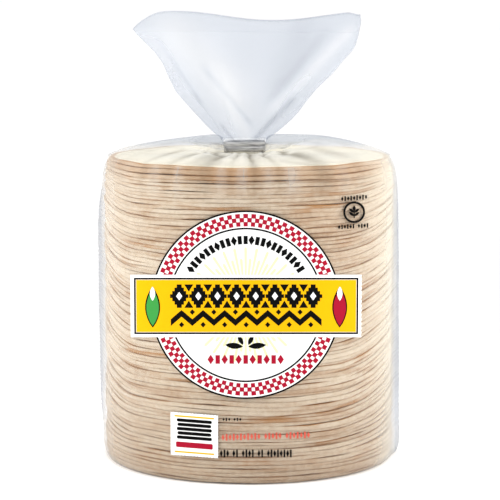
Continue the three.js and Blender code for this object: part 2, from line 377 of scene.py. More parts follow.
def shade(mesh: bpy.types.Mesh, smooth: bool = True) -> None:
    """Shades a whole mesh smooth or flat."""
    mesh.polygons.foreach_set("use_smooth", [smooth] * len(mesh.polygons))


def loft(
    rings: Sequence[np.ndarray], closed_start: bool = False, closed_end: bool = False
) -> tuple[np.ndarray, list[tuple[int, ...]]]:
    """Joins rings of points into a surface.

    Args:
        rings: Arrays of points, each turning from +X towards +Y. A ring may have twice as many points as
            the one before.
        closed_start: Whether the first ring is closed to its middle.
        closed_end: Whether the last one is.

    Returns:
        The points and the faces, facing outwards where the rings go from base to top.
    """
    points = [np.asarray(ring, float) for ring in rings]
    starts = np.cumsum([0] + [len(ring) for ring in points])
    faces: list[tuple[int, ...]] = []
    for k, (low, high) in enumerate(zip(points, points[1:])):
        a, b, n = starts[k], starts[k + 1], len(low)
        for i in range(n):
            j = (i + 1) % n
            if len(high) == 2 * n:
                c, d, e = b + 2 * i, b + 2 * i + 1, b + (2 * i + 2) % (2 * n)
                faces += [(a + i, d, c), (a + i, a + j, d), (a + j, e, d)]
            else:
                faces.append((a + i, a + j, b + j, b + i))
    if closed_start:
        points.append(points[0].mean(0, keepdims=True))
        middle, n = starts[-1], len(rings[0])
        faces += [((i + 1) % n, i, middle) for i in range(n)]
    if closed_end:
        middle, n, top = starts[-1] + int(closed_start), len(rings[-1]), starts[-2]
        points.append(np.asarray(rings[-1], float).mean(0, keepdims=True))
        faces += [(top + i, top + (i + 1) % n, middle) for i in range(n)]
    return np.concatenate(points), faces


def read_points(mesh: bpy.types.Mesh) -> np.ndarray:
    """Reads a mesh's vertices.

    Args:
        mesh: The mesh.

    Returns:
        Its vertices, in millimetres.
    """
    flat = np.empty(len(mesh.vertices) * 3, np.float32)
    mesh.vertices.foreach_get("co", flat)
    return flat.reshape(-1, 3).astype(float) / MM


def write_points(mesh: bpy.types.Mesh, points: np.ndarray) -> None:
    """Writes a mesh's vertices, given in millimetres."""
    mesh.vertices.foreach_set("co", (points * MM).astype(np.float32).ravel())
    mesh.update()


def write_value(mesh: bpy.types.Mesh, name: str, values: np.ndarray) -> None:
    """Stores a number on each vertex for a material to read."""
    attribute = mesh.attributes.get(name) or mesh.attributes.new(name, "FLOAT", "POINT")
    attribute.data.foreach_set("value", np.asarray(values, np.float32))


def read_value(mesh: bpy.types.Mesh, name: str) -> np.ndarray:
    """Reads a number stored on each vertex.

    Args:
        mesh: The mesh.
        name: The attribute's name.

    Returns:
        One number for each vertex.
    """
    values = np.empty(len(mesh.vertices), np.float32)
    mesh.attributes[name].data.foreach_get("value", values)
    return values.astype(float)


# ---- The form of the pack, shared by its tortillas, film and print ----


@dataclass(frozen=True)
class StackForm:
    """The stack's size and how its edges wander. A pair is for the left and the right side."""

    count: int = 80
    radius: float = 74.2
    height: float = 154.0
    thickness_spread: float = 0.3
    base_inset: float = 1.8
    base_rounding: float = 7.0
    top_inset: float = 2.6
    top_rounding: float = 9.0
    side_lift: Point2 = (10.5, 12.5)
    side_lift_angle: Point2 = (math.radians(42), math.radians(58))
    wave_height: float = 0.55
    # Height, count round the stack, turn from base to top in radians and phase of each wave.
    waves: Sequence[Sequence[float]] = ((0.5, 3, 5, 1), (0.3, 5, -9, 2), (0.3, 8, 12, 0))
    back_lift: float = 2.2

    def bounds(self) -> np.ndarray:
        """Gives the shares of the height where one tortilla ends and the next begins.

        Returns:
            The shares, from 0 to 1.
        """
        steps = [1 + self.thickness_spread * (2 * scatter(k) - 1) for k in range(self.count)]
        edges = np.concatenate([[0.0], np.cumsum(steps)])
        return edges / edges[-1]

    def rise(self, u: Values, angle: np.ndarray) -> np.ndarray:
        """Gives how far an edge stands above its level place.

        Args:
            u: Share of the stack's height.
            angle: Where round the stack.

        Returns:
            The rise, in millimetres.
        """
        left = np.cos(angle) < 0
        turned = np.minimum(from_side(angle) / np.where(left, *self.side_lift_angle), 1)
        near = np.cos(np.pi / 2 * turned) ** 2
        lift = np.where(left, *self.side_lift) * ease(u, 0, 0.25) * (1 - u**6) * near
        free = np.minimum(1, np.minimum(8 * u, 8 * (1 - u)))
        wave = sum(h * np.sin(n * angle + m * u + phase) for h, n, m, phase in self.waves)
        return lift + self.wave_height * free * wave + self.back_rise(angle) * u**12

    def back_rise(self, angle: np.ndarray) -> np.ndarray:
        """Gives how much higher the top's rim stands, most at the back, in millimetres."""
        return self.back_lift * (0.5 + 0.5 * np.sin(angle)) ** 1.5

    def inset(self, z: np.ndarray) -> np.ndarray:
        """Gives how far the outline draws in near the base and the top.

        Args:
            z: Height, in millimetres.

        Returns:
            The inset, in millimetres.
        """
        base = np.maximum(0, 1 - z / self.base_rounding)
        top = np.maximum(0, 1 - (self.height - z) / self.top_rounding)
        return self.base_inset * base**2 + self.top_inset * top**2


@dataclass(frozen=True)
class Mark:
    """A soft line on the film's fan: a crease, drawn in and painted as shade, or where negative pushed out
    and painted as a highlight.
    """

    start: Point2
    end: Point2
    width: float
    strength: float

    def reach(self, x: np.ndarray, z: np.ndarray) -> np.ndarray:
        """Gives how strongly the mark shows.

        Args:
            x: Places across, in millimetres.
            z: Their heights.

        Returns:
            The mark at each place.
        """
        (x0, z0), (x1, z1) = self.start, self.end
        length = math.hypot(x1 - x0, z1 - z0)
        along = ((x - x0) * (x1 - x0) + (z - z0) * (z1 - z0)) / length
        across = ((x - x0) * (z1 - z0) - (z - z0) * (x1 - x0)) / length
        past = np.maximum(0, np.maximum(-along, along - length)) / (3 * self.width + 4)
        return self.strength * np.exp(-((across / self.width) ** 2) - (2 * past) ** 2)


@dataclass(frozen=True)
class Pleat:
    """A pleat that runs out from the neck over the stack's top, pressed down and painted as shade, or where
    negative raised and painted as a highlight.

    It turns from one angle near the neck to another far from it, and both and its width are in degrees.
    """

    near: float
    far: float
    width: float
    strength: float

    def reach(self, angle: np.ndarray, out: float) -> np.ndarray:
        """Gives how strongly the pleat shows.

        Args:
            angle: Where round the neck, in radians.
            out: Share of the way from the neck to the rim.

        Returns:
            The pleat at each angle.
        """
        turned = float(ease(out, 0.06, 0.5))
        place = math.radians(self.near + (self.far - self.near) * turned)
        width = math.radians(self.width * (2.2 - 1.2 * turned))
        off = (angle - place + math.pi) % TAU - math.pi
        return self.strength * np.exp(-((off / width) ** 2))


@dataclass(frozen=True)
class BagForm:
    """The film's size: over the stack, at the neck and in the fan above it.

    Stations pair a place with a value: the side folds a height with how far they stand out, flat and
    ridge a share of the way from neck to rim with a height, the fan's sizes a height above the neck with
    a distance from its middle, and its front and back folds a share of its half-width with how far the
    sheet stands out there, as a share of fold_height.
    """

    half_width: float = 77.8
    slack: float = 0.75
    neck_half_width: float = 9.1
    neck_half_depth: float = 6.5
    neck_offset: float = -2.4
    neck_base: float = 156.2
    neck_top: float = 163.0
    mouth: float = 226.2
    mouth_wave: float = 2.3
    left_corner_drop: float = 7.4
    right_corner_drop: float = 1.6
    fan_taper: float = 0.95
    fan_height: float = 64.0
    ridge_sharpness: float = 1.7
    ridge_lean: float = 0.9
    free_from: float = 160.2
    sight: float = 0.06
    # Painted shadow under the tie, and painted light on the standing wall by the neck.
    tie_shadow: float = 0.7
    wall_light: float = 0.9
    left_fold: Stations = (
        (0, 0.4), (8, 0.33), (17, 0.5), (27, 0.82), (59, 0.93), (80, 1), (111, 1), (121, 0.96),
        (132, 0.7), (140, 0.28), (147, 0),
    )
    right_fold: Stations = (
        (0, 1.2), (17, 1.14), (59, 1), (80, 0.93), (121, 0.79), (132, 0.65), (140, 0.44), (147, 0.14),
        (154, 0),
    )
    flat: Stations = (
        (0, 156.2), (0.045, 156.2), (0.13, 156.5), (0.44, 156.3), (0.66, 156.0), (0.84, 155.5),
        (0.97, 154.6),
    )
    ridge: Stations = (
        (0, 156.2), (0.024, 157.0), (0.026, 161.3), (0.028, 163.0), (0.034, 164.2), (0.06, 165.2),
        (0.1, 165.7), (0.16, 165.6), (0.26, 165.2), (0.46, 164.0), (0.68, 161.0), (0.86, 157.6),
        (0.97, 154.6),
    )
    fan_left: Stations = (
        (0, 9.1), (0.5, 12.0), (1, 12.8), (5, 17.4), (13, 25), (24, 34.6), (29, 37.3), (33, 39.2),
        (37, 40.9), (41, 43.2), (45, 46.3), (49, 50.2), (53, 54.2), (56.5, 57.2),
    )
    fan_right: Stations = (
        (0, 9.1), (0.5, 12.0), (1, 12.9), (4.3, 17.2), (8.4, 22.1), (12.5, 26.3), (20.7, 32.6),
        (26.8, 37.8), (33, 44.3), (41, 51.0), (45.2, 54.9), (49.2, 57.0), (57.3, 58.9), (60, 59.3),
        (63, 59.0),
    )
    fan_depth: Stations = ((0, 6.5), (1, 7.4), (8, 9.5), (30, 13.5), (64, 17))
    fold_height: Stations = ((0, 0.2), (10, 1), (30, 2.4), (64, 3.8))
    front_folds: Stations = (
        (-1, 0), (-0.88, -0.4), (-0.7, 0.7), (-0.42, -0.8), (-0.05, 0.6), (0.3, 0.5), (0.58, -0.9),
        (0.8, 0.8), (1, 0),
    )
    back_folds: Stations = (
        (-1, 0), (-0.8, 0.8), (-0.45, -0.7), (-0.1, 0.6), (0.25, -0.7), (0.6, 0.9), (0.85, -0.4), (1, 0),
    )
    # Painted shade of the fan's creases and, where negative, painted highlights.
    front_marks: tuple[Mark, ...] = (
        Mark((-45.5, 212.7), (-26.2, 184.2), 1.1, 0.5),
        Mark((-26.2, 184.2), (-15.0, 168.0), 1.0, 0.3),
        Mark((-21.0, 197.5), (-1.1, 174.0), 1.5, 0.75),
        Mark((36.1, 215.0), (11.7, 184.7), 2.6, 0.33),
        Mark((20.3, 182.0), (3.8, 164.3), 1.6, 0.9),
        Mark((-12.5, 168.6), (-8.6, 163.4), 1.0, 0.9),
        Mark((25.0, 214.0), (19.0, 192.0), 9.0, 0.3),
        Mark((-35.0, 213.0), (-13.0, 192.0), 12.0, -0.9),
        Mark((-13.0, 193.0), (-7.0, 176.0), 4.5, -0.6),
        Mark((49.0, 216.0), (14.7, 181.0), 3.2, -0.7),
        Mark((-2.0, 168.0), (-1.0, 163.0), 3.0, -0.5),
    )
    back_marks: tuple[Mark, ...] = (
        Mark((-45.5, 212.0), (-26.0, 184.0), 1.6, 0.3),
        Mark((-21.0, 197.5), (-1.5, 173.0), 1.9, 0.4),
        Mark((20.5, 182.0), (4.0, 164.0), 2.0, 0.5),
        Mark((26.0, 214.0), (18.0, 190.0), 9.0, 0.3),
        Mark((-34.0, 212.0), (-14.0, 192.0), 11.0, -0.6),
        Mark((-13.0, 193.0), (-7.0, 176.0), 4.5, -0.4),
        Mark((49.0, 216.0), (15.0, 181.0), 3.2, -0.5),
    )
    pleats: tuple[Pleat, ...] = (
        Pleat(-28, -61, 4.5, 1.0), Pleat(-42, -74.5, 3.4, -0.9), Pleat(-62, -78.5, 1.7, 0.75),
        Pleat(-66, -82.5, 2.0, -0.6), Pleat(-83, -88, 1.7, 1.0), Pleat(-91.5, -92.5, 2.0, -0.8),
        Pleat(-99, -97, 1.1, 0.5), Pleat(-104, -100.5, 1.8, -0.7), Pleat(-140, -106.5, 2.6, 0.9),
        Pleat(-152, -117.5, 1.7, -0.9), Pleat(-155, -122.5, 1.8, 0.65), Pleat(-157, -128.5, 2.8, -0.5),
        Pleat(-160, -134.5, 1.8, 0.6), Pleat(-22, -43, 4.0, 0.35), Pleat(-25, -52, 3.0, -0.4),
        Pleat(-166, -150, 4.0, 0.25), Pleat(22, 40, 4.0, 0.4), Pleat(30, 57, 3.5, 0.8),
        Pleat(45, 70, 3.5, -0.8), Pleat(64, 79, 2.0, 0.7), Pleat(80, 84.5, 1.7, -0.5),
        Pleat(88, 90, 2.0, 0.9), Pleat(97, 95.5, 2.0, -0.6), Pleat(112, 102, 1.7, 0.6),
        Pleat(138, 110, 2.6, 0.8), Pleat(150, 121, 2.2, -0.8), Pleat(157, 131, 2.2, 0.7),
        Pleat(166, 150, 4.0, 0.3), Pleat(-171, -160, 5.0, 0.35), Pleat(-156, -112, 4.5, 0.45),
    )

    def side_radius(self, stack: StackForm, angle: np.ndarray, z: np.ndarray) -> np.ndarray:
        """Gives the film's outline round the stack, seen from above.

        Args:
            stack: The stack inside.
            angle: Where round the stack.
            z: Height, in millimetres.

        Returns:
            The distance from the axis, in millimetres.
        """
        radius = stack.radius + self.slack
        fold_angle = math.acos(radius / self.half_width)
        standing = np.where(np.cos(angle) < 0, through(self.left_fold, z), through(self.right_fold, z))
        excess = 1 / np.cos(np.maximum(fold_angle - from_side(angle), 0)) - 1
        return radius * (1 + standing * excess)

    def fan_share(self, angle: np.ndarray, rise: Values) -> np.ndarray:
        """Gives the share of the fan's half-width at a turn round the film.

        Args:
            angle: The turn, from 0 at the right end over the back.
            rise: Height above the neck, in millimetres.

        Returns:
            The share, from -1 to 1.
        """
        even = 1 - 2 * (1 - np.abs(1 - angle / np.pi))
        spread = 0.8 * ease(rise, 0, 14)
        return (1 - spread) * np.cos(angle) + spread * even

    def mouth_rise(self, share: np.ndarray) -> np.ndarray:
        """Gives the height of the open edge above the neck.

        Args:
            share: Share of the fan's half-width.

        Returns:
            The height, in millimetres.
        """
        dip = self.mouth_wave * np.cos(3.6 * (share - 0.25))
        drop = self.left_corner_drop * np.maximum(0, (-share - 0.68) / 0.32) ** 2.2
        drop = drop + self.right_corner_drop * ease(share, 0.88, 1)
        return self.mouth - self.neck_top - dip - drop


# ---- Finishes ----


def tortilla_tones() -> Tree:
    """Makes the node group that colours corn dough, painted shade and light included.

    Returns:
        The group. Its Depth input is 0 on a tortilla's outermost edge, 1 deep between two edges and 2 on
        its faces, and Layer is the tortilla's share of the stack.
    """
    graph, given, made = new_group(
        "tortilla_tones",
        "ShaderNodeTree",
        sockets("Float", "Depth", "Layer") + sockets("Color", "Cream", "Tan", "Toast", "Ivory"),
        sockets("Color", "Colour") + sockets("Float", "Height"),
    )
    depth, layer, cream, tan, toast, ivory = given[:6]
    place = graph.place()
    x, y, _ = graph.add("ShaderNodeSeparateXYZ", inputs={0: place}).outputs
    own = graph.product(layer, float(StackForm.count))

    def layered(scale: float, step: float, detail: float) -> Socket:
        """Gives noise that runs along one tortilla's edge and is another on the next."""
        vector = graph.xyz(graph.product(x, scale), graph.product(y, scale), graph.product(own, step))
        return graph.noise(vector, 1.0, detail, 0.55)

    broad = graph.span(layered(16, 1.37, 2), 0.3, 0.7)
    streak = graph.span(layered(42, 3.1, 3), 0.47, 0.68)
    fine = graph.noise(place, 420.0, 3.0)
    smudge = graph.span(graph.noise(graph.stretch(place, 24.0, 24.0, 220.0), 1.0, 3.0), 0.54, 0.72)
    # Painted light: less brown towards both sides, more so on the right, where the side lamps fall.
    painted_side_light = graph.product(graph.span(x, 0.052, 0.073, 1.0, 0.3), graph.span(x, -0.073, -0.05, 0.6, 1.0))
    # Painted shade: two round patches where the dough is coloured browner.
    shade_patches = 0.0
    for centre, strength in (((0.036, -0.062, 0.126), 0.34), ((-0.007, -0.074, 0.166), 0.36)):
        far = graph.add("ShaderNodeVectorMath", {"operation": "DISTANCE"}, {0: place, 1: centre})
        shade_patches = graph.math("MAXIMUM", shade_patches, graph.span(far.outputs["Value"], 0.012, 0.036, strength, 0.0))

    # Painted shade: deeper into the seams between tortillas the dough turns browner, partly its own
    # toasting, partly shade.
    brown = graph.line(graph.span(depth, 0.1, 1.0), 0.55, graph.product(broad, 0.5))
    brown = graph.line(smudge, 0.5, graph.math("ADD", brown, shade_patches))
    brown = graph.math("ADD", brown, graph.span(fine, 0.35, 0.7, -0.16, 0.2))
    brown = graph.math("ADD", brown, graph.span(layer, 0.93, 0.98, 0.0, 0.25))
    # Painted shade: browner in the lowest layers.
    brown = graph.math("ADD", brown, graph.span(layer, 0.0, 0.08, 0.3, 0.0), clamp=True)
    colour = graph.blend(graph.product(brown, painted_side_light), cream, tan)

    # Toasted streaks and smudges, with painted shade deep in the seams and in the shade patches.
    toast_and_shade = graph.math("MAXIMUM", streak, graph.product(smudge, 0.8))
    toast_and_shade = graph.product(toast_and_shade, graph.span(depth, 0.0, 0.7, 0.15, 0.8))
    toast_and_shade = graph.math("ADD", toast_and_shade, graph.span(depth, 0.3, 0.95, 0.0, 0.62), clamp=True)
    toast_and_shade = graph.line(shade_patches, 0.35, toast_and_shade)
    toast_and_shade = graph.math("ADD", toast_and_shade, graph.span(layer, 0.945, 0.97, 0.0, 0.3), clamp=True)
    colour = graph.blend(graph.product(toast_and_shade, painted_side_light), colour, toast)

    # Painted highlight: the right edge is mixed towards ivory, for the film's glare there.
    colour = graph.blend(graph.span(x, 0.058, 0.074, 0.0, 0.5), colour, ivory)
    # Painted shade: the lower part of the stack is darkened towards tan.
    colour = graph.blend(graph.span(layer, 0.0, 0.42, 0.34, 0.0), colour, tan, "MULTIPLY")
    speck = graph.span(graph.noise(place, 55.0, 4.0), 0.55, 0.8, 0.0, 0.35)
    face = graph.blend(speck, ivory, tan)
    graph.feed(made["Colour"], graph.blend(graph.span(depth, 1.3, 1.9), colour, face))
    graph.feed(made["Height"], fine)
    return graph.tree


@dataclass(frozen=True)
class TortillaFinish:
    """Dry white-corn tortilla with faint toasting, and painted shade and light."""

    name: str = "tortilla"
    cream: Colour = (0.58, 0.49, 0.38)
    tan: Colour = (0.42, 0.305, 0.205)
    toast: Colour = (0.36, 0.17, 0.05)
    ivory: Colour = (0.72, 0.672, 0.54)
    roughness: float = 0.8
    specular: float = 0.25
    bump: float = 0.2
    bump_height: float = 0.0004

    def make(self, tones: Tree) -> Material:
        """Makes the material.

        Args:
            tones: The tortilla_tones group.

        Returns:
            The material.
        """
        material, graph = new_material(self.name)
        inputs = {"Cream": self.cream, "Tan": self.tan, "Toast": self.toast, "Ivory": self.ivory}
        read = {name.title(): graph.attribute(name) for name in ("depth", "layer")}
        toned = graph.group(tones, {**read, **inputs})
        bump = {"Strength": self.bump, "Distance": self.bump_height, "Height": toned["Height"]}
        normal = graph.out("ShaderNodeBump", bump)
        graph.paint(toned["Colour"], self.roughness, self.specular, {"Normal": normal})
        return material


def film_veil() -> Tree:
    """Makes the node group that says how milky and how shaded the film looks.

    Returns:
        The group. Facing is 0 where the film is seen square on and 1 where it's seen edge on, Loose is 1
        where nothing lies behind it, Crease is painted shade in its folds and by the tie, Gleam is painted
        highlight on its smooth bright fields, and Fin is 1 on the bag's side folds.
    """
    graph, given, made = new_group(
        "film_veil",
        "ShaderNodeTree",
        sockets("Float", "Facing", "Loose", "Crease", "Gleam", "Fin", "Thin", "Folded"),
        sockets("Float", "Milk", "Shade", "Fold", "Tint", "Gloss"),
    )
    facing, loose, crease, gleam, fin, thin, folded = given[:7]
    cloud = graph.noise(graph.place(), 38.0, 2.0)
    edge = graph.math("POWER", facing, graph.line(loose, 1.0, 2.0))
    milk = graph.line(edge, graph.product(folded, graph.line(loose, -0.6, 1.0)), thin)
    milk = graph.line(loose, 0.1, graph.product(milk, graph.span(cloud, 0.35, 0.7, 0.8, 1.2)))
    # Painted highlight: Gleam brightens the milk on held film and clears the tint.
    bright = graph.product(gleam, graph.line(loose, -0.3, 0.3))
    glanced = graph.math("ADD", graph.math("ADD", loose, 0.2), fin)
    clear = graph.math("SUBTRACT", 1.0, graph.product(gleam, 0.85))
    results = {
        "Milk": graph.math("MINIMUM", graph.math("ADD", milk, bright), 0.9),
        "Shade": graph.math("MULTIPLY", edge, glanced, clamp=True),
        # Painted shade: how far creases darken the film.
        "Fold": graph.product(crease, graph.line(loose, -0.58, 1.0)),
        "Tint": graph.math("MULTIPLY", loose, clear, clamp=True),
        "Gloss": graph.line(loose, 0.45, 0.4),
    }
    for name, value in results.items():
        graph.feed(made[name], value)
    return graph.tree


@dataclass(frozen=True)
class FilmFinish:
    """Clear glossy bag film that turns milky where it's seen edge on, with painted shade in its creases and
    painted highlights.
    """

    name: str = "film"
    milk: Colour = (0.66, 0.70, 0.77)
    clear: Colour = (0.985, 0.985, 0.985)
    mist: Colour = (0.80, 0.79, 0.765)
    hanging: Colour = (0.85, 0.868, 0.90)
    edge: Colour = (0.60, 0.635, 0.70)
    # Painted shade: fold and dusk darken the film's creases, pleats and the line under the tie, held and
    # loose.
    fold: Colour = (0.40, 0.375, 0.33)
    dusk: Colour = (0.40, 0.43, 0.48)
    gloss: Colour = (1.0, 1.0, 1.0)
    gloss_limit: float = 0.22
    thin: float = 0.02
    folded: float = 0.46
    let_through: float = 0.45
    roughness: float = 0.3
    ior: float = 1.5

    def make(self, veil: Tree) -> Material:
        """Makes the material.

        Args:
            veil: The film_veil group.

        Returns:
            The material.
        """
        material, graph = new_material(self.name)
        given = {name.title(): graph.attribute(name) for name in ("loose", "crease", "gleam", "fin")}
        facing = graph.add("ShaderNodeLayerWeight", inputs={"Blend": 0.5}).outputs["Facing"]
        seen = graph.group(veil, {**given, "Facing": facing, "Thin": self.thin, "Folded": self.folded})
        # Painted shade colour of the creases.
        dark = graph.blend(given["Loose"], self.fold, self.dusk)
        tint = graph.blend(seen["Tint"], self.clear, self.hanging)
        tint = graph.blend(seen["Shade"], tint, self.edge)
        tint = graph.blend(seen["Fold"], tint, dark)
        clear = graph.out("ShaderNodeBsdfTransparent", {"Color": tint})
        pale = graph.blend(given["Loose"], self.mist, self.milk)
        pale = graph.blend(seen["Fold"], pale, dark)
        front = graph.out("ShaderNodeBsdfDiffuse", {"Color": pale})
        back = graph.out("ShaderNodeBsdfTranslucent", {"Color": pale})
        body = graph.mix(seen["Milk"], clear, graph.mix(self.let_through, front, back))
        gloss = graph.out("ShaderNodeBsdfGlossy", {"Color": self.gloss, "Roughness": self.roughness})
        fresnel = graph.out("ShaderNodeFresnel", {"IOR": self.ior})
        shine = graph.product(graph.math("MINIMUM", fresnel, self.gloss_limit), seen["Gloss"])
        graph.show(graph.mix(shine, body, gloss))
        return material


@dataclass(frozen=True)
class InkFinish:
    """One even, matt ink."""

    name: str
    colour: Colour
    roughness: float = 0.8
    specular: float = 0.05

    def make(self) -> Material:
        """Makes the material.

        Returns:
            The material.
        """
        material, graph = new_material(self.name)
        graph.paint(self.colour, self.roughness, self.specular)
        return material


@dataclass(frozen=True)
class TieFinish:
    """Silver-grey plastic ribbon with fine crimps."""

    name: str = "tie"
    light: Colour = (0.44, 0.44, 0.445)
    dark: Colour = (0.17, 0.17, 0.175)
    crimps: Point3 = (110.0, 110.0, 1300.0)
    roughness: float = 0.45
    specular: float = 0.3

    def make(self) -> Material:
        """Makes the material.

        Returns:
            The material.
        """
        material, graph = new_material(self.name)
        crimped = graph.noise(graph.stretch(graph.place(), *self.crimps), 1.0, 2.0)
        colour = graph.blend(graph.span(crimped, 0.35, 0.7), self.light, self.dark)
        graph.paint(colour, self.roughness, self.specular)
        return material


@dataclass(frozen=True)
class FloorFinish:
    """Pale floor that looks evenly white, however the lamps fall on it."""

    name: str = "floor"
    colour: Colour = (0.96, 0.96, 0.96)
    seen: Colour = (0.653, 0.653, 0.653)
    roughness: float = 0.9
    specular: float = 0.1

    def make(self) -> Material:
        """Makes the material.

        Returns:
            The material.
        """
        material, graph = new_material(self.name)
        length = {"operation": "LENGTH"}
        away = graph.add("ShaderNodeVectorMath", length, {0: graph.place()}).outputs["Value"]
        lit = graph.product(graph.span(away, 0.12, 0.26), graph.span(away, 0.2, 1.9, 1.0, 0.0))
        direct = graph.add("ShaderNodeLightPath").outputs["Is Camera Ray"]
        colour = graph.blend(graph.product(direct, lit), self.colour, self.seen)
        graph.paint(colour, self.roughness, self.specular)
        return material


class Ink(Enum):
    """The print's inks, each with its finish."""

    WHITE = InkFinish("ink_white", (0.84, 0.84, 0.84))
    GOLD = InkFinish("ink_gold", (0.76, 0.40, 0.003))
    PALE = InkFinish("ink_pale_yellow", (0.76, 0.74, 0.42))
    CRIMSON = InkFinish("ink_crimson", (0.33, 0.008, 0.026))
    BLACK = InkFinish("ink_black", (0.003, 0.003, 0.003))
    ROSE = InkFinish("ink_rose", (0.56, 0.10, 0.07))
    GREEN = InkFinish("ink_green", (0.045, 0.27, 0.055))


# ---- The tortillas ----


def stack_tree() -> Tree:
    """Makes the geometry node tree that piles up copies of one tortilla.

    Returns:
        The tree. It stores the copy's share of the stack as layer.
    """
    graph, given, made = new_group(
        "stack_up",
        "GeometryNodeTree",
        sockets("Geometry", "Geometry") + sockets("Int", "Count")
        + sockets("Float", "Height", "Size Spread") + sockets("Int", "Seed")
        + sockets("Material", "Material"),
        sockets("Geometry", "Geometry"),
    )
    shape, count, height, spread, seed, material = given[:6]
    pitch = graph.math("DIVIDE", height, count)
    start = graph.xyz(z=graph.product(pitch, 0.5))
    line = {"Count": count, "Start Location": start, "Offset": graph.xyz(z=pitch)}
    turns = {0: (0, 0, 0), 1: (0, 0, TAU), "Seed": seed}
    sizes = {
        2: graph.math("SUBTRACT", 1.0, spread),
        3: graph.math("ADD", 1.0, spread),
        "Seed": graph.math("ADD", seed, 1.0),
    }
    size = graph.add("FunctionNodeRandomValue", {"data_type": "FLOAT"}, sizes).outputs[1]
    copies = {
        "Points": graph.out("GeometryNodeMeshLine", line),
        "Instance": shape,
        "Rotation": graph.out("FunctionNodeRandomValue", turns, data_type="FLOAT_VECTOR"),
        "Scale": graph.xyz(size, size, 1.0),
    }
    stored = {
        "Geometry": graph.out("GeometryNodeInstanceOnPoints", copies),
        "Name": "layer",
        "Value": graph.math("DIVIDE", graph.out("GeometryNodeInputIndex"), count),
    }
    pile = graph.out("GeometryNodeStoreNamedAttribute", stored, data_type="FLOAT", domain="INSTANCE")
    graph.feed(made[0], graph.real(pile, material))
    return graph.tree


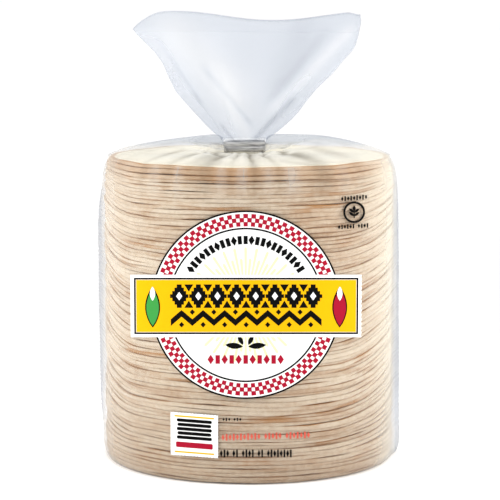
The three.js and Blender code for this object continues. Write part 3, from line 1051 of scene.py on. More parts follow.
@dataclass
class TortillaStack:
    """Eighty loose tortillas, one on the other."""

    form: StackForm
    segments: int = 160
    thickness: float = 1.925
    radius: float = 74.1
    size_spread: float = 0.006
    # How far the tortillas reach at most past the stack's radius, and how low the lowest one lies.
    room: float = 0.38
    floor: float = 0.12
    # Share of the radius from which a tortilla bends, width of its rim, and how far a rim stands out.
    bends_from: float = 0.55
    rim_width: float = 5.0
    stand_limit: float = 0.5
    seed: int = 7
    # Distance in from the edge, share of the half-thickness and depth for the finish.
    profile: tuple[Point3, ...] = (
        (3.4, -1.0, 2.0), (1.1, -0.97, 1.0), (0.3, -0.74, 0.35), (0.0, 0.0, 0.0),
        (0.3, 0.74, 0.35), (1.1, 0.97, 1.0), (3.4, 1.0, 2.0),
    )
    # Height and count round the stack of the waves up and down, in and out, and between two edges.
    jitter_waves: Stations = ((0.16, 4), (0.12, 9), (0.07, 17))
    stand_waves: Stations = ((0.4, 1), (0.3, 3), (0.16, 7), (0.08, 15))
    parting_waves: Stations = ((0.5, 2), (0.55, 4), (0.5, 9), (0.35, 17), (0.2, 31))
    piece: Piece | None = field(default=None, init=False)

    def build(self, material: Material) -> "TortillaStack":
        """Makes one tortilla, piles up its copies and lets their edges settle.

        Args:
            material: What the tortillas are made of.

        Returns:
            The stack.
        """
        angle = turns_round(self.segments)
        rings = []
        for inward, share, _ in self.profile:
            radius = self.radius - inward
            rings.append(join(radius * np.cos(angle), radius * np.sin(angle), share * self.thickness / 2))
        self.piece = new_piece("tortillas", *loft(rings, closed_start=True, closed_end=True))
        depths = [depth for _, _, depth in self.profile]
        ends = [depths[0], depths[-1]]
        write_value(self.piece.data, "depth", np.concatenate([np.repeat(depths, self.segments), ends]))
        inputs = {
            "Count": self.form.count,
            "Height": self.form.height * MM,
            "Size Spread": self.size_spread,
            "Seed": self.seed,
            "Material": material,
        }
        run_geometry_tree(self.piece, stack_tree(), inputs)
        self.settle()
        return self

    def settle(self) -> None:
        """Bends the copies so that their edges press together, part and rise at the bag's side folds."""
        mesh, form, count = self.piece.data, self.form, self.form.count
        points, depth = read_points(mesh), read_value(mesh, "depth")
        layer = np.rint(read_value(mesh, "layer") * count).astype(int)
        # A tortilla's faces have a depth of 2, its edge one of 1 at most.
        on_edge = depth < 1.5
        bounds = form.bounds()
        u = ((bounds[:-1] + bounds[1:]) / 2)[layer]
        share = ((bounds[1:] - bounds[:-1]) * count)[layer]
        own = points[:, 2] - (layer + 0.5) * form.height / count
        angle = np.arctan2(points[:, 1], points[:, 0])
        radius = np.hypot(points[:, 0], points[:, 1])
        near_edge = ease(radius, self.radius * self.bends_from, self.radius)
        random = np.random.default_rng(self.seed)
        parted = self.partings(layer + (own > 0), angle, random)
        jitter = self.edge_noise(self.jitter_waves, layer, angle, random)
        stand = self.edge_noise(self.stand_waves, layer, angle, random)

        swell = np.where(radius > self.radius - self.rim_width, 1.03 - 0.11 * parted**3, 0.98)
        z = form.height * u + own * share * swell + near_edge * (form.rise(u, angle) + jitter)
        ends = np.minimum(1, np.minimum(layer, count - 1 - layer) / 3)
        stand = np.minimum(stand * (0.35 + 0.65 * ends), self.stand_limit)
        inward = np.where(on_edge, 1.1 * depth, 0.0)
        filled = inward * (1 - 0.58 * parted) * 0.85
        reach = np.minimum(radius + filled + stand * near_edge, form.radius + self.room)
        out = (reach - form.inset(z) * near_edge) / np.maximum(radius, 1e-6)
        points[:, :2] *= out[:, None]
        points[:, 2] = np.maximum(z, self.floor)
        write_points(mesh, points)
        # Painted shade: open seams and edges sunk behind their neighbours get more depth, which the finish
        # paints browner.
        sunk = depth * (0.25 + 0.75 * parted) + 0.6 * ease(-stand, 0.0, 1.1)
        write_value(mesh, "depth", np.where(on_edge, np.minimum(sunk, 1.2), depth))

    def edge_noise(
        self, waves: Stations, layer: np.ndarray, angle: np.ndarray, random: np.random.Generator
    ) -> np.ndarray:
        """Gives waves along each edge, another set on each tortilla.

        Args:
            waves: Height and count round the stack of each wave.
            layer: Which tortilla each vertex is of.
            angle: Where round the stack it is.
            random: Where each tortilla's own numbers come from.

        Returns:
            The waves' sum at each vertex.
        """
        total = np.zeros_like(angle)
        for height, count in waves:
            phase = random.uniform(0, TAU, self.form.count)
            strength = random.uniform(0.4, 1.4, self.form.count) * height
            total += strength[layer] * np.sin(count * angle + phase[layer])
        return total

    def partings(self, seam: np.ndarray, angle: np.ndarray, random: np.random.Generator) -> np.ndarray:
        """Gives how far the edges on both sides of a seam part.

        Args:
            seam: Which seam between two tortillas each vertex lies by.
            angle: Where round the stack each vertex is.
            random: Where the seams' own numbers come from.

        Returns:
            From 0, pressed together, to 1, open.
        """
        seams = self.form.count + 1
        total = np.zeros_like(angle)
        for height, count in self.parting_waves:
            total += height * np.sin(count * angle + random.uniform(0, TAU, seams)[seam])
        bias = random.uniform(0, 1, seams) ** 2.2 * 2.5 - 1.45
        # The topmost seams are the most open.
        bias[-6:] += 0.8
        bias[-4:-1] += 0.6
        return ease(total + bias[seam], -0.9, 1.5)

    def dress(self) -> None:
        """Puts the stack in the frame."""
        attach(self.piece, "root")
        shade(self.piece.data)
        report(self.piece)


# ---- The film ----


@dataclass
class FilmBag:
    """The bag's film, from its base over the stack, through the neck to the open mouth."""

    stack: StackForm
    form: BagForm
    segments: int = 192
    ring_steps: tuple[float, ...] = (0.0, 0.25, 0.5, 0.75)
    base_rings: tuple[float, ...] = (0.15, 0.4, 0.7, 0.9)
    shoulder_rings: tuple[float, ...] = (
        *np.linspace(0.97, 0.3, 22), *np.linspace(0.27, 0.06, 14), 0.045, 0.034, 0.028, 0.026, 0.024,
    )
    floor: float = 0.05
    cling: float = 0.3
    gathers: int = 26
    gather_depth: float = 0.045
    gather_inset: float = 0.02
    # How much wider the neck is at its top, and over what height it widens.
    neck_flare: float = 0.3
    flare_height: float = 0.8
    fan_rings: int = 50
    fan_ring_spread: float = 1.2
    # Height, count round the stack and phase of the creases in the film round it.
    creases: tuple[Point3, ...] = ((0.1, 23, 0.4), (0.07, 37, 1.9), (0.05, 61, 2.2))
    rings: list[np.ndarray] = field(default_factory=list, init=False)
    values: dict[str, list[np.ndarray]] = field(default_factory=dict, init=False)
    piece: Piece | None = field(default=None, init=False)

    def build(self) -> "FilmBag":
        """Makes the film's surface.

        Returns:
            The bag.
        """
        self.values = {name: [] for name in ("loose", "crease", "gleam", "fin")}
        self.add_base()
        self.add_side()
        self.add_shoulders()
        self.add_neck()
        self.add_fan()
        self.piece = new_piece("bag_film", *loft(self.rings, closed_start=True))
        for name, values in self.values.items():
            write_value(self.piece.data, name, np.concatenate([*values, [0.0]]))
        return self

    def add_ring(
        self, ring: np.ndarray, loose: Values = 0.0, marks: Values = 0.0, fin: Values = 0.0
    ) -> None:
        """Adds a ring of points.

        Args:
            ring: The points, in millimetres.
            loose: How far the film hangs free at each.
            marks: Painted shade of creases, and where negative painted highlights, at each.
            fin: How far it belongs to a side fold at each.
        """
        self.rings.append(ring)
        even = np.zeros(len(ring))
        crease, gleam = np.clip(even + marks, 0, 1), np.clip(even - marks, 0, 1)
        for name, value in (("loose", loose), ("crease", crease), ("gleam", gleam), ("fin", fin)):
            self.values[name].append(even + value)

    def add_base(self) -> None:
        """Adds the flat base."""
        edge = self.side_point(0.0, turns_round(self.segments), 0.0)
        for share in self.base_rings:
            self.add_ring(join(edge[:, 0] * share, edge[:, 1] * share, self.floor))

    def side_point(self, u: float, angle: np.ndarray, relief: Values) -> np.ndarray:
        """Gives points of the film on the stack's side.

        Args:
            u: Share of the stack's height.
            angle: Where round the stack.
            relief: How far the film is drawn in.

        Returns:
            The points, in millimetres.
        """
        z = self.stack.height * u + self.stack.rise(u, angle)
        radius = self.form.side_radius(self.stack, angle, z) - self.stack.inset(z)
        radius = radius + (ripple(angle + 0.002 * z, self.creases) - relief) * min(1.0, 12 * u)
        return join(radius * np.cos(angle), radius * np.sin(angle), np.maximum(z, self.floor))

    def add_side(self) -> None:
        """Adds the film round the stack, drawn in a little between the tortillas' edges."""
        bounds, angle = self.stack.bounds(), turns_round(self.segments)
        sideways = np.abs(np.cos(angle))
        # Painted highlights, and weaker painted shade, where the top's pleats run over onto the side.
        pleats = sum(pleat.reach(angle, 1.0) for pleat in self.form.pleats)
        pleats = np.where(pleats > 0, 0.25, 1.3) * pleats
        fold = 0.12 * ease(sideways, 0.99, 1)
        fin = np.where(np.cos(angle) < 0, 0.32, 2.1) * ease(sideways, 0.958, 0.98)
        # Painted highlight: glare on the film's right side, where it lies on the stack.
        right_glare = 0.5 * ease(np.cos(angle), 0.88, 0.97)
        for k in range(self.stack.count):
            for step in self.ring_steps:
                u = bounds[k] + (bounds[k + 1] - bounds[k]) * step
                hug = 0.55 + 0.45 * ripple(angle, [(0.7, 2, 1.3 * k), (0.5, 5, 2.1 * k), (0.4, 9, k)])
                relief = self.cling * np.clip(hug, 0.1, 1.2) * (1 + math.cos(TAU * step)) / 2
                ring = self.side_point(u, angle, relief)
                stand = np.hypot(ring[:, 0], ring[:, 1]) - self.stack.radius - self.form.slack
                free = 0.6 * ease(stand, 0.4, 1.6)
                marks = fold * (1 - ease(u, 0.8, 0.95)) + pleats * ease(u, 0.86, 0.98) - right_glare * (1 - free)
                tall = (0.4 + 0.6 * ease(u, 0.04, 0.25)) * (1 - 0.2 * ease(u, 0.7, 0.9))
                self.add_ring(ring, free, marks, fin * tall)

    def add_shoulders(self) -> None:
        """Adds the film over the stack's top, with pleats that run out from the neck."""
        form, angle = self.form, turns_round(2 * self.segments)
        for out in self.shoulder_rings:
            x = np.cos(angle) * (form.neck_half_width * (1 - out) + self.stack.radius * out)
            y = np.sin(angle) * (form.neck_half_depth * (1 - out) + self.stack.radius * out)
            back = self.stack.back_rise(angle) * ease(out, 0.4, 0.97)
            lying, standing = through(form.flat, out) + back, through(form.ridge, out) + back
            marks = sum(pleat.reach(angle, out) for pleat in form.pleats)
            sharpness = form.ridge_sharpness + 10 * (1 - ease(out, 0.03, 0.6))
            ridge = np.abs(np.cos(angle)) ** sharpness
            standing = standing + form.ridge_lean * np.sign(np.cos(angle)) * math.sin(math.pi * out) ** 2
            lift = (standing - lying) * ridge
            spread = ease(out, 0.08, 0.26) * (1 - ease(out, 0.6, 0.95))
            z = lying + lift + (1 - 0.97 * ridge) * spread * (0.6 - 0.9 * marks + self.gathered(out, angle))
            # Pleats pressed down are painted as shade, raised ones as highlights.
            shown = marks * (0.5 + 0.5 * spread) * (1 - 0.5 * ease(out, 0.9, 0.99))
            # Painted shadow: the film just in front of the tie is darkened.
            shown = shown + form.tie_shadow * (1 - ease(out, 0.02, 0.09)) * (1 - ridge)
            seen = lying + lift - form.sight * np.abs(y)
            free = ease(seen, form.free_from - 1.2, form.free_from + 1.2)
            # Painted light: the standing wall near the neck is lightened.
            wall = (1 - free) * ease(lift, 0.5, 2) * (1 - ease(out, 0.3, 0.55))
            ring = join(form.neck_offset * (1 - out) + x, y, z)
            self.add_ring(ring, 0.1 + 0.9 * free * ease(lift, 0.3, 1.5), shown - form.wall_light * wall)

    def add_neck(self) -> None:
        """Adds the gathered film in the tie, which widens to the fan."""
        form, angle = self.form, turns_round(2 * self.segments)
        gather = 1 + self.gather_depth * np.abs(np.sin(self.gathers / 2 * angle)) - self.gather_inset
        widens = form.neck_top - self.flare_height
        for z in [*np.linspace(form.neck_base, widens, 5), form.neck_top - 0.3, form.neck_top]:
            wide = gather * (1 + self.neck_flare * float(ease(z, widens, form.neck_top)))
            x = form.neck_offset + form.neck_half_width * wide * np.cos(angle)
            y = form.neck_half_depth * wide * np.sin(angle)
            # Painted shadow: the neck's low rings under the tie are darkened.
            self.add_ring(join(x, y, z), 0.3, form.tie_shadow if z < form.neck_base + 2.5 else 0.0)

    def gathered(self, out: float, angle: np.ndarray) -> np.ndarray:
        """Gives how far the small gathers close to the neck stand up, at a share of the way to the rim."""
        sharp = 1 - np.abs(np.sin(self.gathers / 2 * angle + 0.35 * np.sin(3 * angle)))
        return 0.6 * sharp**1.5 * (1 - ease(out, 0.2, 0.45))

    def add_fan(self) -> None:
        """Adds the fan above the neck."""
        form, angle = self.form, turns_round(2 * self.segments)
        front = angle > math.pi
        top = form.mouth_rise(form.fan_share(angle, form.fan_height))
        for height in np.linspace(0, 1, self.fan_rings)[1:] ** self.fan_ring_spread:
            rise = height * top
            share = form.fan_share(angle, rise)
            half_width = np.where(share < 0, through(form.fan_left, rise), through(form.fan_right, rise))
            x, z = form.neck_offset + half_width * share, form.neck_top + rise
            # Marks draw creases in and paint them as shade, and paint gleams as highlights.
            sheets = (form.front_marks, form.back_marks)
            marks = np.where(front, *(sum(mark.reach(x, z) for mark in sheet) for sheet in sheets))
            folds = np.where(front, through(form.front_folds, share), through(form.back_folds, share))
            depth = through(form.fan_depth, rise) + through(form.fold_height, rise) * folds
            depth = depth + self.crumple(share, rise, front) - 0.8 * marks
            y = np.where(front, -1, 1) * np.maximum(0, 1 - share**2) ** form.fan_taper * depth
            rim = 0.5 * ease(height, 0.975, 0.99)
            self.add_ring(join(x, y, z), 1.0, marks + rim)

    def crumple(self, share: np.ndarray, rise: np.ndarray, front: np.ndarray) -> np.ndarray:
        """Gives the small pleats and dents of the fan's sheets.

        Args:
            share: Share of the fan's half-width.
            rise: Height above the neck, in millimetres.
            front: Whether each point is on the front sheet.

        Returns:
            How far each point stands out, in millimetres.
        """
        lines = np.where(front, 0.0, 0.37)
        pleat = 0.5 + 0.5 * np.sin(27 * (share - lines) + 0.9)
        low = ease(rise, 0.5, 5) * (1 - ease(rise, 10, 32))
        fine = np.sin(13 * (share + lines) + 0.02 * rise)
        dent = np.sin(4 * share + 0.1 * rise + 6 * lines) * np.sin(0.07 * rise + 2.3 * share)
        return 0.45 * low * pleat + 0.1 * fine * ease(rise, 3, 24) + 0.6 * ease(rise, 6, 34) * dent

    def dress(self, material: Material) -> None:
        """Puts the film in the frame with its finish.

        Args:
            material: The film's finish.
        """
        self.piece.data.materials.append(material)
        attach(self.piece, "root")
        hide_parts("bag")
        report(self.piece)


# ---- The tie ----


@dataclass
class TwistTie:
    """The ribbon round the neck, its ends twisted together behind."""

    bag: BagForm
    base: float = 157.85
    height: float = 4.5
    thickness: float = 0.85
    gap: float = 0.25
    over_neck: float = 1.04
    segments: int = 120
    tail_length: float = 14.0
    tail_turns: float = 2.5
    tail_slope: float = math.radians(-1)
    end_length: float = 7.0
    end_spread: float = math.radians(34)
    # Share of the thickness and of the half-height in one of the ribbon's two lobes.
    lobe: Stations = ((0.0, 0.0), (0.85, 0.03), (1.0, 0.14), (1.0, 0.5), (0.97, 0.86), (0.6, 0.96))
    seam: float = 0.2
    # Half of a flat bar's outline, as shares of its half-width and half-thickness.
    bar_side: Stations = ((-1, -0.6), (-1, 0.6), (-0.9, 1), (0.9, 1))
    piece: Piece | None = field(default=None, init=False)

    def build(self) -> "TwistTie":
        """Makes the ribbon's loop, its twisted tail and its two free ends.

        Returns:
            The tie.
        """
        points, faces = self.loop()
        behind = self.bag.neck_half_depth * self.over_neck + self.gap
        root = np.array([self.bag.neck_offset, behind, self.base + self.height / 2])
        along = np.array([0.0, math.cos(self.tail_slope), math.sin(self.tail_slope)])
        bars = [(root, along, self.tail_length, 1.5, self.tail_turns, 70)]
        fork = root + along * (self.tail_length - 1)
        for turn in (-self.end_spread, self.end_spread):
            way = np.array([-along[1] * math.sin(turn), along[1] * math.cos(turn), along[2]])
            bars.append((fork, way, self.end_length, 0.8, 0.08, 8))
        for bar in bars:
            more, sides = self.bar(*bar)
            faces += [tuple(i + len(points) for i in side) for side in sides]
            points = np.concatenate([points, more])
        self.piece = new_piece("twist_tie", points, faces)
        return self

    def loop(self) -> tuple[np.ndarray, list[tuple[int, ...]]]:
        """Makes the loop: a ribbon folded over two wires, with a seam between them.

        Returns:
            Its points and faces.
        """
        half = self.height / 2
        section = [(out, level * half) for out, level in self.lobe] + [(self.seam, half)]
        section += [(out, (1 + level) * half) for out, level in self.lobe[1:]] + [(0, 2 * half)]
        angle = turns_round(self.segments)
        across = np.sign(np.cos(angle)) * np.abs(np.cos(angle)) ** 0.75
        crimp = 1 + 0.005 * np.sin(13 * angle) + 0.004 * np.sin(31 * angle)
        rings = []
        for out, level in section:
            reach = self.gap + out * self.thickness
            wide = self.bag.neck_half_width * self.over_neck * crimp + reach
            deep = self.bag.neck_half_depth * self.over_neck * crimp + reach
            x = self.bag.neck_offset + wide * across
            rings.append(join(x, deep * np.sin(angle), self.base + level + 0.2 * across))
        points, faces = loft([*rings, rings[0]])
        n = len(points) - self.segments
        return points[:n], [tuple(i if i < n else i - n for i in face) for face in faces]

    def bar(
        self, start: np.ndarray, way: np.ndarray, length: float, thick: float, turns: float, steps: int,
        wide: float = 0.6,
    ) -> tuple[np.ndarray, list[tuple[int, ...]]]:
        """Makes a flat bar that twists about its own length.

        Args:
            start: Where it starts.
            way: The way it runs.
            length: How long it is.
            thick: Its thickness, in millimetres.
            turns: How often it turns over.
            steps: How many steps it's divided into.
            wide: Its width, as a share of the ribbon's.

        Returns:
            Its points and faces.
        """
        way = way / np.linalg.norm(way)
        side = np.cross(way, [0, 0, 1])
        side /= np.linalg.norm(side)
        up = np.cross(side, way)
        outline = [*self.bar_side, *((-across, -deep) for across, deep in self.bar_side)]
        rings = []
        for k in range(steps + 1):
            turn = TAU * turns * k / steps
            middle = start + way * length * k / steps
            c, s, ring = math.cos(turn), math.sin(turn), []
            for across, deep in outline:
                a, b = across * wide * self.height / 2, deep * thick / 2
                ring.append(middle + side * (a * c - b * s) + up * (a * s + b * c))
            rings.append(np.array(ring))
        return loft(rings, closed_start=True, closed_end=True)

    def dress(self, material: Material) -> None:
        """Puts the tie in the frame with its finish.

        Args:
            material: The tie's finish.
        """
        self.piece.data.materials.append(material)
        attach(self.piece, "root")
        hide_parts("tie")
        report(self.piece)


# ---- The print ----


def repeat_round_tree() -> Tree:
    """Makes the geometry node tree that repeats a flat shape round a centre.

    Returns:
        The tree.
    """
    graph, given, made = new_group(
        "repeat_round",
        "GeometryNodeTree",
        sockets("Geometry", "Geometry") + sockets("Int", "Count") + sockets("Vector", "Centre")
        + sockets("Material", "Material"),
        sockets("Geometry", "Geometry"),
    )
    shape, count, centre, material = given[:4]
    share = graph.math("DIVIDE", graph.out("GeometryNodeInputIndex"), count)
    copies = {
        "Points": graph.out("GeometryNodePoints", {"Count": count, "Position": centre}),
        "Instance": shape,
        "Rotation": graph.xyz(y=graph.product(share, TAU)),
    }
    graph.feed(made[0], graph.real(graph.out("GeometryNodeInstanceOnPoints", copies), material))
    return graph.tree


def wrap_tree() -> Tree:
    """Makes the geometry node tree that lays flat shapes on the round front of the film.

    A shape stands in front of the pack, its Y being how far it's raised above the film with a minus
    sign. It's cast on the film from a point before it, so that it keeps its outline as seen from there.

    Returns:
        The tree.
    """
    graph, given, made = new_group(
        "wrap_front",
        "GeometryNodeTree",
        sockets("Geometry", "Geometry") + sockets("Float", "Radius", "Eye Distance", "Eye Height")
        + sockets("Material", "Material"),
        sockets("Geometry", "Geometry"),
    )
    shape, film, eye_distance, eye_height, material = given[:5]
    position = graph.out("GeometryNodeInputPosition")
    x, raised, z = graph.add("ShaderNodeSeparateXYZ", inputs={0: position}).outputs
    radius = graph.math("SUBTRACT", film, raised)
    plane = graph.math("SUBTRACT", eye_distance, film)
    # Each pass comes closer to where the line of sight meets the film.
    reach = x
    for _ in range(3):
        square = graph.math("SUBTRACT", graph.product(radius, radius), graph.product(reach, reach))
        front = graph.math("SQRT", graph.math("MAXIMUM", square, 0.0))
        scale = graph.math("DIVIDE", graph.math("SUBTRACT", eye_distance, front), plane)
        reach = graph.product(x, scale)
    high = graph.line(graph.math("SUBTRACT", z, eye_height), scale, eye_height)
    laid = graph.xyz(reach, graph.product(front, -1.0), high)
    wrapped = graph.out("GeometryNodeSetPosition", {"Geometry": shape, "Position": laid})
    graph.feed(made[0], graph.real(wrapped, material))
    return graph.tree


def circle(cx: float, cz: float, radius: float, n: int = 96) -> Outline:
    """Gives the outline of a circle with n corners."""
    turns = [TAU * i / n for i in range(n)]
    return [(cx + radius * math.cos(t), cz + radius * math.sin(t)) for t in turns]


def cell(inner: float, outer: float, half: float, shift: float = 0.0) -> Outline:
    """Gives a piece of a hoop about the origin that reaches the angle half to both sides of shift."""
    corner = ((inner, -half), (inner, half), (outer, half), (outer, -half))
    return [(r * math.sin(t + shift), r * math.cos(t + shift)) for r, t in corner]


def box(cx: float, cz: float, width: float, height: float, round_by: float = 0.0) -> Outline:
    """Gives a rectangle's outline.

    Args:
        cx: Its centre across.
        cz: Its centre's height.
        width: Its width.
        height: Its height.
        round_by: The radius of its corners.

    Returns:
        The outline.
    """
    w, h = width / 2 - round_by, height / 2 - round_by
    if round_by <= 0:
        return [(cx - w, cz - h), (cx + w, cz - h), (cx + w, cz + h), (cx - w, cz + h)]
    outline = []
    for quarter, (sx, sz) in enumerate([(1, 1), (-1, 1), (-1, -1), (1, -1)]):
        for turn in (math.pi / 2 * (quarter + i / 6) for i in range(7)):
            x, z = round_by * math.cos(turn), round_by * math.sin(turn)
            outline.append((cx + sx * w + x, cz + sz * h + z))
    return outline


def lozenge(cx: float, cz: float, width: float, height: float) -> Outline:
    """Gives a lozenge's outline about its centre."""
    return [(cx, cz - height / 2), (cx + width / 2, cz), (cx, cz + height / 2), (cx - width / 2, cz)]


def leaf(cx: float, cz: float, length: float, width: float, turn: float, n: int = 9) -> Outline:
    """Gives the outline of a leaf with two points.

    Args:
        cx: Its foot across.
        cz: Its foot's height.
        length: Its length.
        width: Its width.
        turn: The way it points, in radians.
        n: How many steps each side has.

    Returns:
        The outline.
    """
    side = [(length * i / n, width / 2 * math.sin(math.pi * i / n) ** 0.8) for i in range(n + 1)]
    loop = side + [(x, -z) for x, z in reversed(side[1:-1])]
    c, s = math.cos(turn), math.sin(turn)
    return [(cx + x * c + z * s, cz + x * s - z * c) for x, z in loop]


def toothed(width: float, height: float, teeth: Sequence[int], bite: float = 0.35) -> Outline:
    """Gives a rectangle about the origin with finely toothed sides.

    Args:
        width: Its width.
        height: Its height.
        teeth: How many teeth the bottom, right, top and left sides have.
        bite: How deep the teeth are.

    Returns:
        Its outline.
    """
    edge: Outline = []
    # Each side's start, as signs, and the way it runs.
    sides = ((-1, -1, 1, 0), (1, -1, 0, 1), (1, 1, -1, 0), (-1, 1, 0, -1))
    for (sx, sz, wx, wz), n in zip(sides, teeth):
        steps = max(1, 2 * n)
        for i in range(steps):
            inward = bite * (i % 2)
            x = sx * width / 2 + wx * width * i / steps
            z = sz * height / 2 + wz * height * i / steps
            edge.append((x - inward * wz, z + inward * wx))
    return edge


def moved(outline: Iterable[Point2], dx: float, dz: float, turn: float = 0.0) -> Outline:
    """Turns an outline about the origin, by an angle in radians, and moves it."""
    c, s = math.cos(turn), math.sin(turn)
    return [(dx + x * c - z * s, dz + x * s + z * c) for x, z in outline]


def keep_mesh(work: bmesh.types.BMesh, name: str) -> bpy.types.Mesh:
    """Turns a work mesh into a lasting one.

    Args:
        work: The work mesh, which is freed.
        name: The new mesh's name.

    Returns:
        The new mesh.
    """
    mesh = bpy.data.meshes.new(name)
    work.to_mesh(mesh)
    work.free()
    return mesh


@dataclass
class FrontPrint:
    """What is printed on the bag's front: a disc with a checked rim, a golden band, a stamp and rules.

    Shapes are flat outlines, each with its level: how many layers of ink lie under it.
    """

    radius: float = 75.25
    layer: float = 0.05
    strip: float = 1.5
    scale: float = 0.975
    lift: float = 3.3
    eye_distance: float = 1000.0
    eye_height: float = 225.0
    centre: Point2 = (-1.75, 87.05)
    disc: float = 46.46
    inner_hoop: Point2 = (37.5, 38.35)
    check_rows: Stations = ((39.0, 41.2), (41.0, 43.2), (43.0, 45.2))
    check_width: float = 1.16
    checks: int = 70
    rays: int = 32
    ray_start: float = 13.0
    arc_radius: float = 32.3
    band: Point2 = (-1.5, 86.7)
    frieze_pitch: float = 9.4
    zigzag_teeth: int = 14
    zigzag_step: float = 5.3
    stamp_at: Point2 = (-27.2, 22.1)
    stamp_slant: float = 0.08
    mark: Point2 = (51.3, 133.0)
    shapes: dict[Ink, list[tuple[Outline, int]]] = field(
        default_factory=lambda: {ink: [] for ink in Ink}, init=False
    )
    rounds: dict[Ink, list[tuple[Outline, int, int, Point2]]] = field(
        default_factory=lambda: {ink: [] for ink in Ink}, init=False
    )
    pieces: list[Piece] = field(default_factory=list, init=False)

    def build(self) -> "FrontPrint":
        """Draws every shape and lays it on the film.

        Returns:
            The print.
        """
        self.draw_disc()
        self.draw_band()
        self.draw_stamp()
        self.draw_mark()
        self.draw_rules()
        repeat, wrap = repeat_round_tree(), wrap_tree()
        self.pieces = [self.lay(ink, repeat, wrap) for ink in Ink]
        return self

    def put(self, ink: Ink, outline: Iterable[Point2], level: int) -> None:
        """Adds a shape."""
        self.shapes[ink].append((list(outline), level))

    def put_round(self, ink: Ink, outline: Outline, level: int, count: int, centre: Point2) -> None:
        """Adds a shape that is drawn about the origin and repeated round a centre."""
        self.rounds[ink].append((outline, level, count, centre))

    def hoop(self, centre: Point2, inner: float, outer: float, level: int, n: int = 180) -> None:
        """Adds a thin black hoop of n pieces."""
        self.put_round(Ink.BLACK, cell(inner, outer, math.pi / n), level, n, centre)

    def draw_disc(self) -> None:
        """Draws the white disc, its checked rim, its rays and its small motifs."""
        cx, cz = self.centre
        self.put(Ink.WHITE, circle(cx, cz, self.disc, 180), 0)
        self.hoop(self.centre, self.disc - 0.5, self.disc + 0.35, 1)
        self.hoop(self.centre, *self.inner_hoop, 1)
        half = math.pi / self.checks / 2
        for k, (inner, outer) in enumerate(self.check_rows):
            check = cell(inner, outer, self.check_width * half, 2 * half * (k % 2))
            self.put_round(Ink.CRIMSON, check, 1, self.checks, self.centre)
        start = self.ray_start
        for end, turn in ((28.0, 0.0), (22.6, TAU / self.rays / 2)):
            ray = [(start, -0.4), (end, -0.7), (end + 0.9, 0), (end, 0.7), (start, 0.4)]
            self.put_round(Ink.PALE, moved(ray, 0, 0, turn), 1, self.rays, self.centre)
        for i in range(23):
            turn = math.radians(33.5 + 113 * i / 22)
            x, z = cx + self.arc_radius * math.cos(turn), cz + self.arc_radius * math.sin(turn)
            shape = lozenge(0, 0, 3.0, 4.8) if i % 3 == 1 else box(0, 0, 2.0, 4.1)
            self.put(Ink.BLACK, moved(shape, x, z, turn - math.pi / 2), 2)
        for up, length, width, turn in ((0.0, 8.8, 3.0, 0.1), (0.9, 5.4, 2.2, 1.1)):
            for side, way in ((-1, math.pi - turn), (1, turn)):
                self.put(Ink.BLACK, leaf(cx + side * 1.3, cz - 20.6 + up, length, width, way), 2)
        for i in range(-5, 6):
            shape = lozenge(0, 0, 3.2, 4.9) if i % 2 else box(0, 0, 2.2, 4.3)
            self.put(Ink.CRIMSON, moved(shape, cx + 3.45 * i, cz - 27.0), 2)

    def draw_band(self) -> None:
        """Draws the golden band with its stepped frieze, its zigzag and its end motifs."""
        cx, cz = self.band
        self.put(Ink.WHITE, moved(toothed(113.6, 31.0, (0, 14, 0, 0)), cx, cz), 3)
        fields = ((Ink.BLACK, 110.2, 28.0), (Ink.WHITE, 108.4, 26.2), (Ink.GOLD, 108.1, 25.9))
        for level, (ink, width, height) in enumerate(fields, 4):
            self.put(ink, box(cx, cz, width, height), level)
        pitch, high = self.frieze_pitch, cz + 4.9
        steps = [(4.5, 0.9), (3.4, 0.9), (3.4, 2.5), (2.3, 2.5), (2.3, 4.2), (1.2, 4.2), (1.2, 5.8)]
        upper = steps + [(-px, pz) for px, pz in reversed(steps)]
        for i in range(8):
            x = cx + pitch * (i - 3.5)
            outline = [(x + side * px, high + side * pz) for side in (1, -1) for px, pz in upper]
            self.put(Ink.BLACK, outline, 7)
            self.put(Ink.WHITE, lozenge(x, high, 3.0, 4.2), 8)
            for up in (-1, 1) if i < 7 else ():
                middle, low = x + pitch / 2, high + up * 5.8
                edge = [(middle - 2.2, low), (middle + 2.2, low), (middle, low - up * 3.6)]
                self.put(Ink.BLACK, edge[::-up], 7)
        teeth, low = self.zigzag_teeth, cz - 9.9
        crests = [(cx + self.zigzag_step * (k - teeth / 2), 4.6 * (k % 2)) for k in range(teeth + 1)]
        zigzag = [(x, low + rise) for x, rise in crests]
        zigzag += [(x, low + rise + 3.3) for x, rise in crests[::-1]]
        self.put(Ink.BLACK, zigzag, 7)
        for x, rise in crests[1:-1]:
            self.put(Ink.BLACK, lozenge(x, low + (6.9 if rise == 0 else 0.6), 2.6, 2.8), 7)
        for side, ink in ((-1, Ink.GREEN), (1, Ink.CRIMSON)):
            leaves = (Ink.BLACK, -10.8, 20.4, 7.4), (ink, -9.9, 18.2, 6.2), (Ink.WHITE, 2.6, 7.0, 2.6)
            for level, (own, up, length, width) in enumerate(leaves, 7):
                self.put(own, leaf(cx + side * 46.0, cz + up, length, width, math.pi / 2), level)

    def draw_stamp(self) -> None:
        """Draws the white stamp with its toothed edge and its bars."""

        def put(ink: Ink, outline: Iterable[Point2], level: int) -> None:
            """Adds a shape slanted like the stamp and in its place."""
            slanted = [(x, z - self.stamp_slant * x) for x, z in outline]
            self.put(ink, moved(slanted, *self.stamp_at), level)

        put(Ink.WHITE, toothed(23.8, 21.9, (15, 14, 15, 14)), 0)
        for z in (9.0, -9.0):
            put(Ink.GOLD, box(0, z, 19.6, 0.8), 1)
        for k in range(5):
            put(Ink.BLACK, box(0, -1.6 + 2.15 * k, 17.4 - 0.7 * (k % 2), 1.65, 0.75), 1)
        put(Ink.CRIMSON, box(0, -5.3, 18.2, 2.8, 0.6), 1)

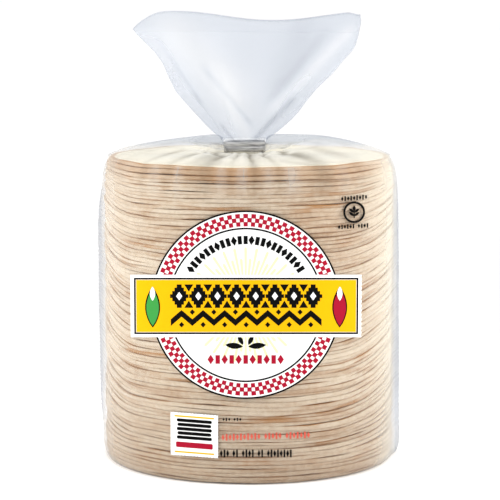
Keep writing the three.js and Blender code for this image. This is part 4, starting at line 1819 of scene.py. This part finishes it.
    def row(
        self, ink: Ink, start: Point2, pitch: float, height: float, groups: Iterable[int],
        slope: float = 0.0,
    ) -> None:
        """Adds a row of short upright shapes, a lozenge and a bar in turn.

        Args:
            ink: Its ink.
            start: Its left end.
            pitch: From one shape to the next.
            height: How tall they are.
            groups: How many shapes stand together before each gap.
            slope: How much the row rises to the right.
        """
        x, z = start
        for group in groups:
            for k in range(group):
                place = (x + pitch / 2, z + slope * (x - start[0]))
                shape = box(*place, pitch * 0.5, height) if k % 2 else lozenge(*place, pitch * 0.86, height)
                self.put(ink, shape, 0)
                x += pitch
            x += pitch * 0.9

    def draw_mark(self) -> None:
        """Draws the small ring with a sprig in it."""
        cx, cz = self.mark
        self.hoop(self.mark, 4.3, 5.35, 0, 64)
        self.row(Ink.BLACK, (cx - 6.6, cz + 6.5), 1.45, 2.4, (9,), 0.09)
        self.row(Ink.BLACK, (cx - 8.0, cz - 7.3), 1.4, 2.2, (6, 4), 0.06)
        self.put(Ink.BLACK, box(cx, cz - 1.0, 0.6, 3.8), 0)
        for turn in (math.pi / 2 + 0.9, math.pi / 2 - 0.9):
            for k in range(2):
                self.put(Ink.BLACK, leaf(cx, cz - 1.9 + 1.7 * k, 3.2, 1.3, turn), 0)
        self.put(Ink.BLACK, leaf(cx, cz + 0.5, 2.8, 1.5, math.pi / 2), 0)

    def draw_rules(self) -> None:
        """Draws the rows of short rules beside the stamp."""
        self.row(Ink.BLACK, (-13.4, 30.0), 1.4, 1.6, (3, 3))
        self.row(Ink.ROSE, (-13.9, 20.9), 1.78, 3.3, (11, 5, 7), 0.03)
        self.row(Ink.BLACK, (-14.7, 12.8), 1.6, 3.9, (3, 2, 4, 2, 8))

    def flat_mesh(self, name: str, shapes: Iterable[tuple[Outline, int]], lift: float) -> bpy.types.Mesh:
        """Fills outlines and cuts them into upright strips that can follow the film.

        Args:
            name: The mesh's name.
            shapes: Outlines and their levels.
            lift: How far they're moved up.

        Returns:
            The mesh, in metres.
        """
        work = bmesh.new()
        size = self.scale * MM
        for outline, level in shapes:
            raised = -self.layer * (level + 1) * MM
            places = [(x * size, raised, z * size + lift * MM) for x, z in outline]
            face = work.faces.new([work.verts.new(place) for place in places])
            face.normal_update()
            if face.normal.y > 0:
                face.normal_flip()
        across = [v.co.x for v in work.verts]
        if across:
            first, last = (int(end / MM / self.strip) for end in (min(across), max(across)))
            for k in range(first - 1, last + 2):
                cut = {"plane_co": Vector((k * self.strip * MM, 0, 0)), "plane_no": Vector((1, 0, 0))}
                everything = [*work.verts, *work.edges, *work.faces]
                bmesh.ops.bisect_plane(work, geom=everything, dist=1e-7, **cut)
        bmesh.ops.triangulate(work, faces=work.faces[:], ngon_method="EAR_CLIP")
        return keep_mesh(work, name)

    def lay(self, ink: Ink, repeat: Tree, wrap: Tree) -> Piece:
        """Makes the piece of one ink.

        Args:
            ink: The ink.
            repeat: The repeat_round tree.
            wrap: The wrap_front tree.

        Returns:
            The piece.
        """
        name, material = "print_" + ink.name.lower(), ink.value.make()
        meshes = [self.flat_mesh(name, self.shapes[ink], self.lift)]
        for k, (outline, level, count, centre) in enumerate(self.rounds[ink]):
            part = new_object(f"{name}_round_{k}", self.flat_mesh(name, [(outline, level)], 0))
            where = (centre[0] * self.scale * MM, 0.0, (centre[1] * self.scale + self.lift) * MM)
            run_geometry_tree(part, repeat, {"Count": count, "Centre": where, "Material": material})
            meshes.append(part.data)
            bpy.data.objects.remove(part)
        work = bmesh.new()
        for mesh in meshes:
            work.from_mesh(mesh)
        piece = new_object(name, keep_mesh(work, name))
        inputs = {
            "Radius": self.radius * MM,
            "Eye Distance": self.eye_distance * MM,
            "Eye Height": self.eye_height * MM,
            "Material": material,
        }
        run_geometry_tree(piece, wrap, inputs)
        shade(piece.data)
        return piece

    def dress(self) -> None:
        """Puts the print in the frame."""
        for piece in self.pieces:
            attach(piece, "root")
            report(piece)


# ---- The studio ----


def point_at(thing: Piece, place: Point3, target: Point3) -> None:
    """Puts a lamp or a camera at a place, facing its target."""
    thing.location = place
    thing.rotation_euler = (Vector(target) - Vector(place)).to_track_quat("-Z", "Y").to_euler()


@dataclass(frozen=True)
class SoftBox:
    """One soft lamp."""

    name: str
    place: Point3
    aim: Point3
    size: Point2
    power: float
    colour: Colour = (1.0, 1.0, 1.0)

    def build(self) -> None:
        """Adds the lamp to the scene."""
        light = bpy.data.lights.new(self.name, "AREA")
        light.shape = "RECTANGLE"
        light.size, light.size_y = self.size
        light.energy = self.power
        light.color = self.colour
        lamp = new_object(self.name, light)
        lamp.visible_glossy = False
        point_at(lamp, self.place, self.aim)


@dataclass
class Studio:
    """The camera, the floor and the light."""

    eye: Point3 = (0.0, -1.0, 0.225)
    aim: Point3 = (0.0004, 0.0, 0.1059)
    lens: float = 140.4
    sight: Point2 = (0.05, 100.0)
    floor_size: float = 60.0
    floor_level: float = -0.3
    overhead: Colour = (1.12, 1.12, 1.12)
    horizon: Colour = (0.5, 0.5, 0.51)
    backdrop: Colour = (1.02, 1.02, 1.02)
    lamps: tuple[SoftBox, ...] = (
        SoftBox("left_box", (-1.0, -0.3, 0.4), (0, 0, 0.09), (0.8, 1.0), 8.5, (1.0, 0.99, 0.97)),
        SoftBox("right_box", (1.0, -0.3, 0.4), (0, 0, 0.09), (0.8, 1.0), 8.5, (1.0, 0.99, 0.97)),
        SoftBox("top_box", (0.0, -0.1, 1.2), (0, 0, 0.1), (0.7, 0.7), 4.0),
    )

    def build(self) -> None:
        """Adds the camera, the floor, the lamps and the sky."""
        scene = bpy.context.scene
        camera = new_object("camera", bpy.data.cameras.new("camera"))
        camera.data.lens = self.lens
        camera.data.clip_start, camera.data.clip_end = self.sight
        point_at(camera, self.eye, self.aim)
        scene.camera = camera
        half = self.floor_size / 2 / MM
        square = [(x * half, y * half, self.floor_level) for x, y in ((-1, -1), (1, -1), (1, 1), (-1, 1))]
        floor = new_piece("floor", np.array(square), [(0, 1, 2, 3)], smooth=False)
        floor.data.materials.append(FloorFinish().make())
        for lamp in self.lamps:
            lamp.build()
        scene.world = self.sky()
        scene.view_settings.view_transform = "Standard"
        scene.view_settings.look = "None"
        LOG.info("studio ready")

    def sky(self) -> bpy.types.World:
        """Makes a sky that lights from above and looks evenly white.

        Returns:
            The world.
        """
        world = bpy.data.worlds.new("studio")
        world.use_nodes = True
        graph = Graph(world.node_tree)
        way = graph.add("ShaderNodeTexCoord").outputs["Generated"]
        up = graph.add("ShaderNodeSeparateXYZ", inputs={0: way}).outputs[2]
        sky = graph.blend(graph.span(up, 0.0, 0.4), self.horizon, self.overhead)
        sky = graph.blend(graph.span(up, 0.014, 0.05), self.backdrop, sky)
        sky = graph.blend(graph.add("ShaderNodeLightPath").outputs["Is Camera Ray"], sky, self.backdrop)
        graph.feed(world.node_tree.nodes["Background"].inputs[0], sky)
        return world


def main() -> None:
    """Builds the pack and its studio in the frame of the CAD part."""
    logging.basicConfig(level=logging.INFO, format="%(name)s: %(message)s")
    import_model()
    stack_form, bag_form = StackForm(), BagForm()
    TortillaStack(stack_form).build(TortillaFinish().make(tortilla_tones())).dress()
    FilmBag(stack_form, bag_form).build().dress(FilmFinish().make(film_veil()))
    TwistTie(bag_form).build().dress(TieFinish().make())
    FrontPrint().build().dress()
    Studio().build()


if __name__ == "__main__":
    main()
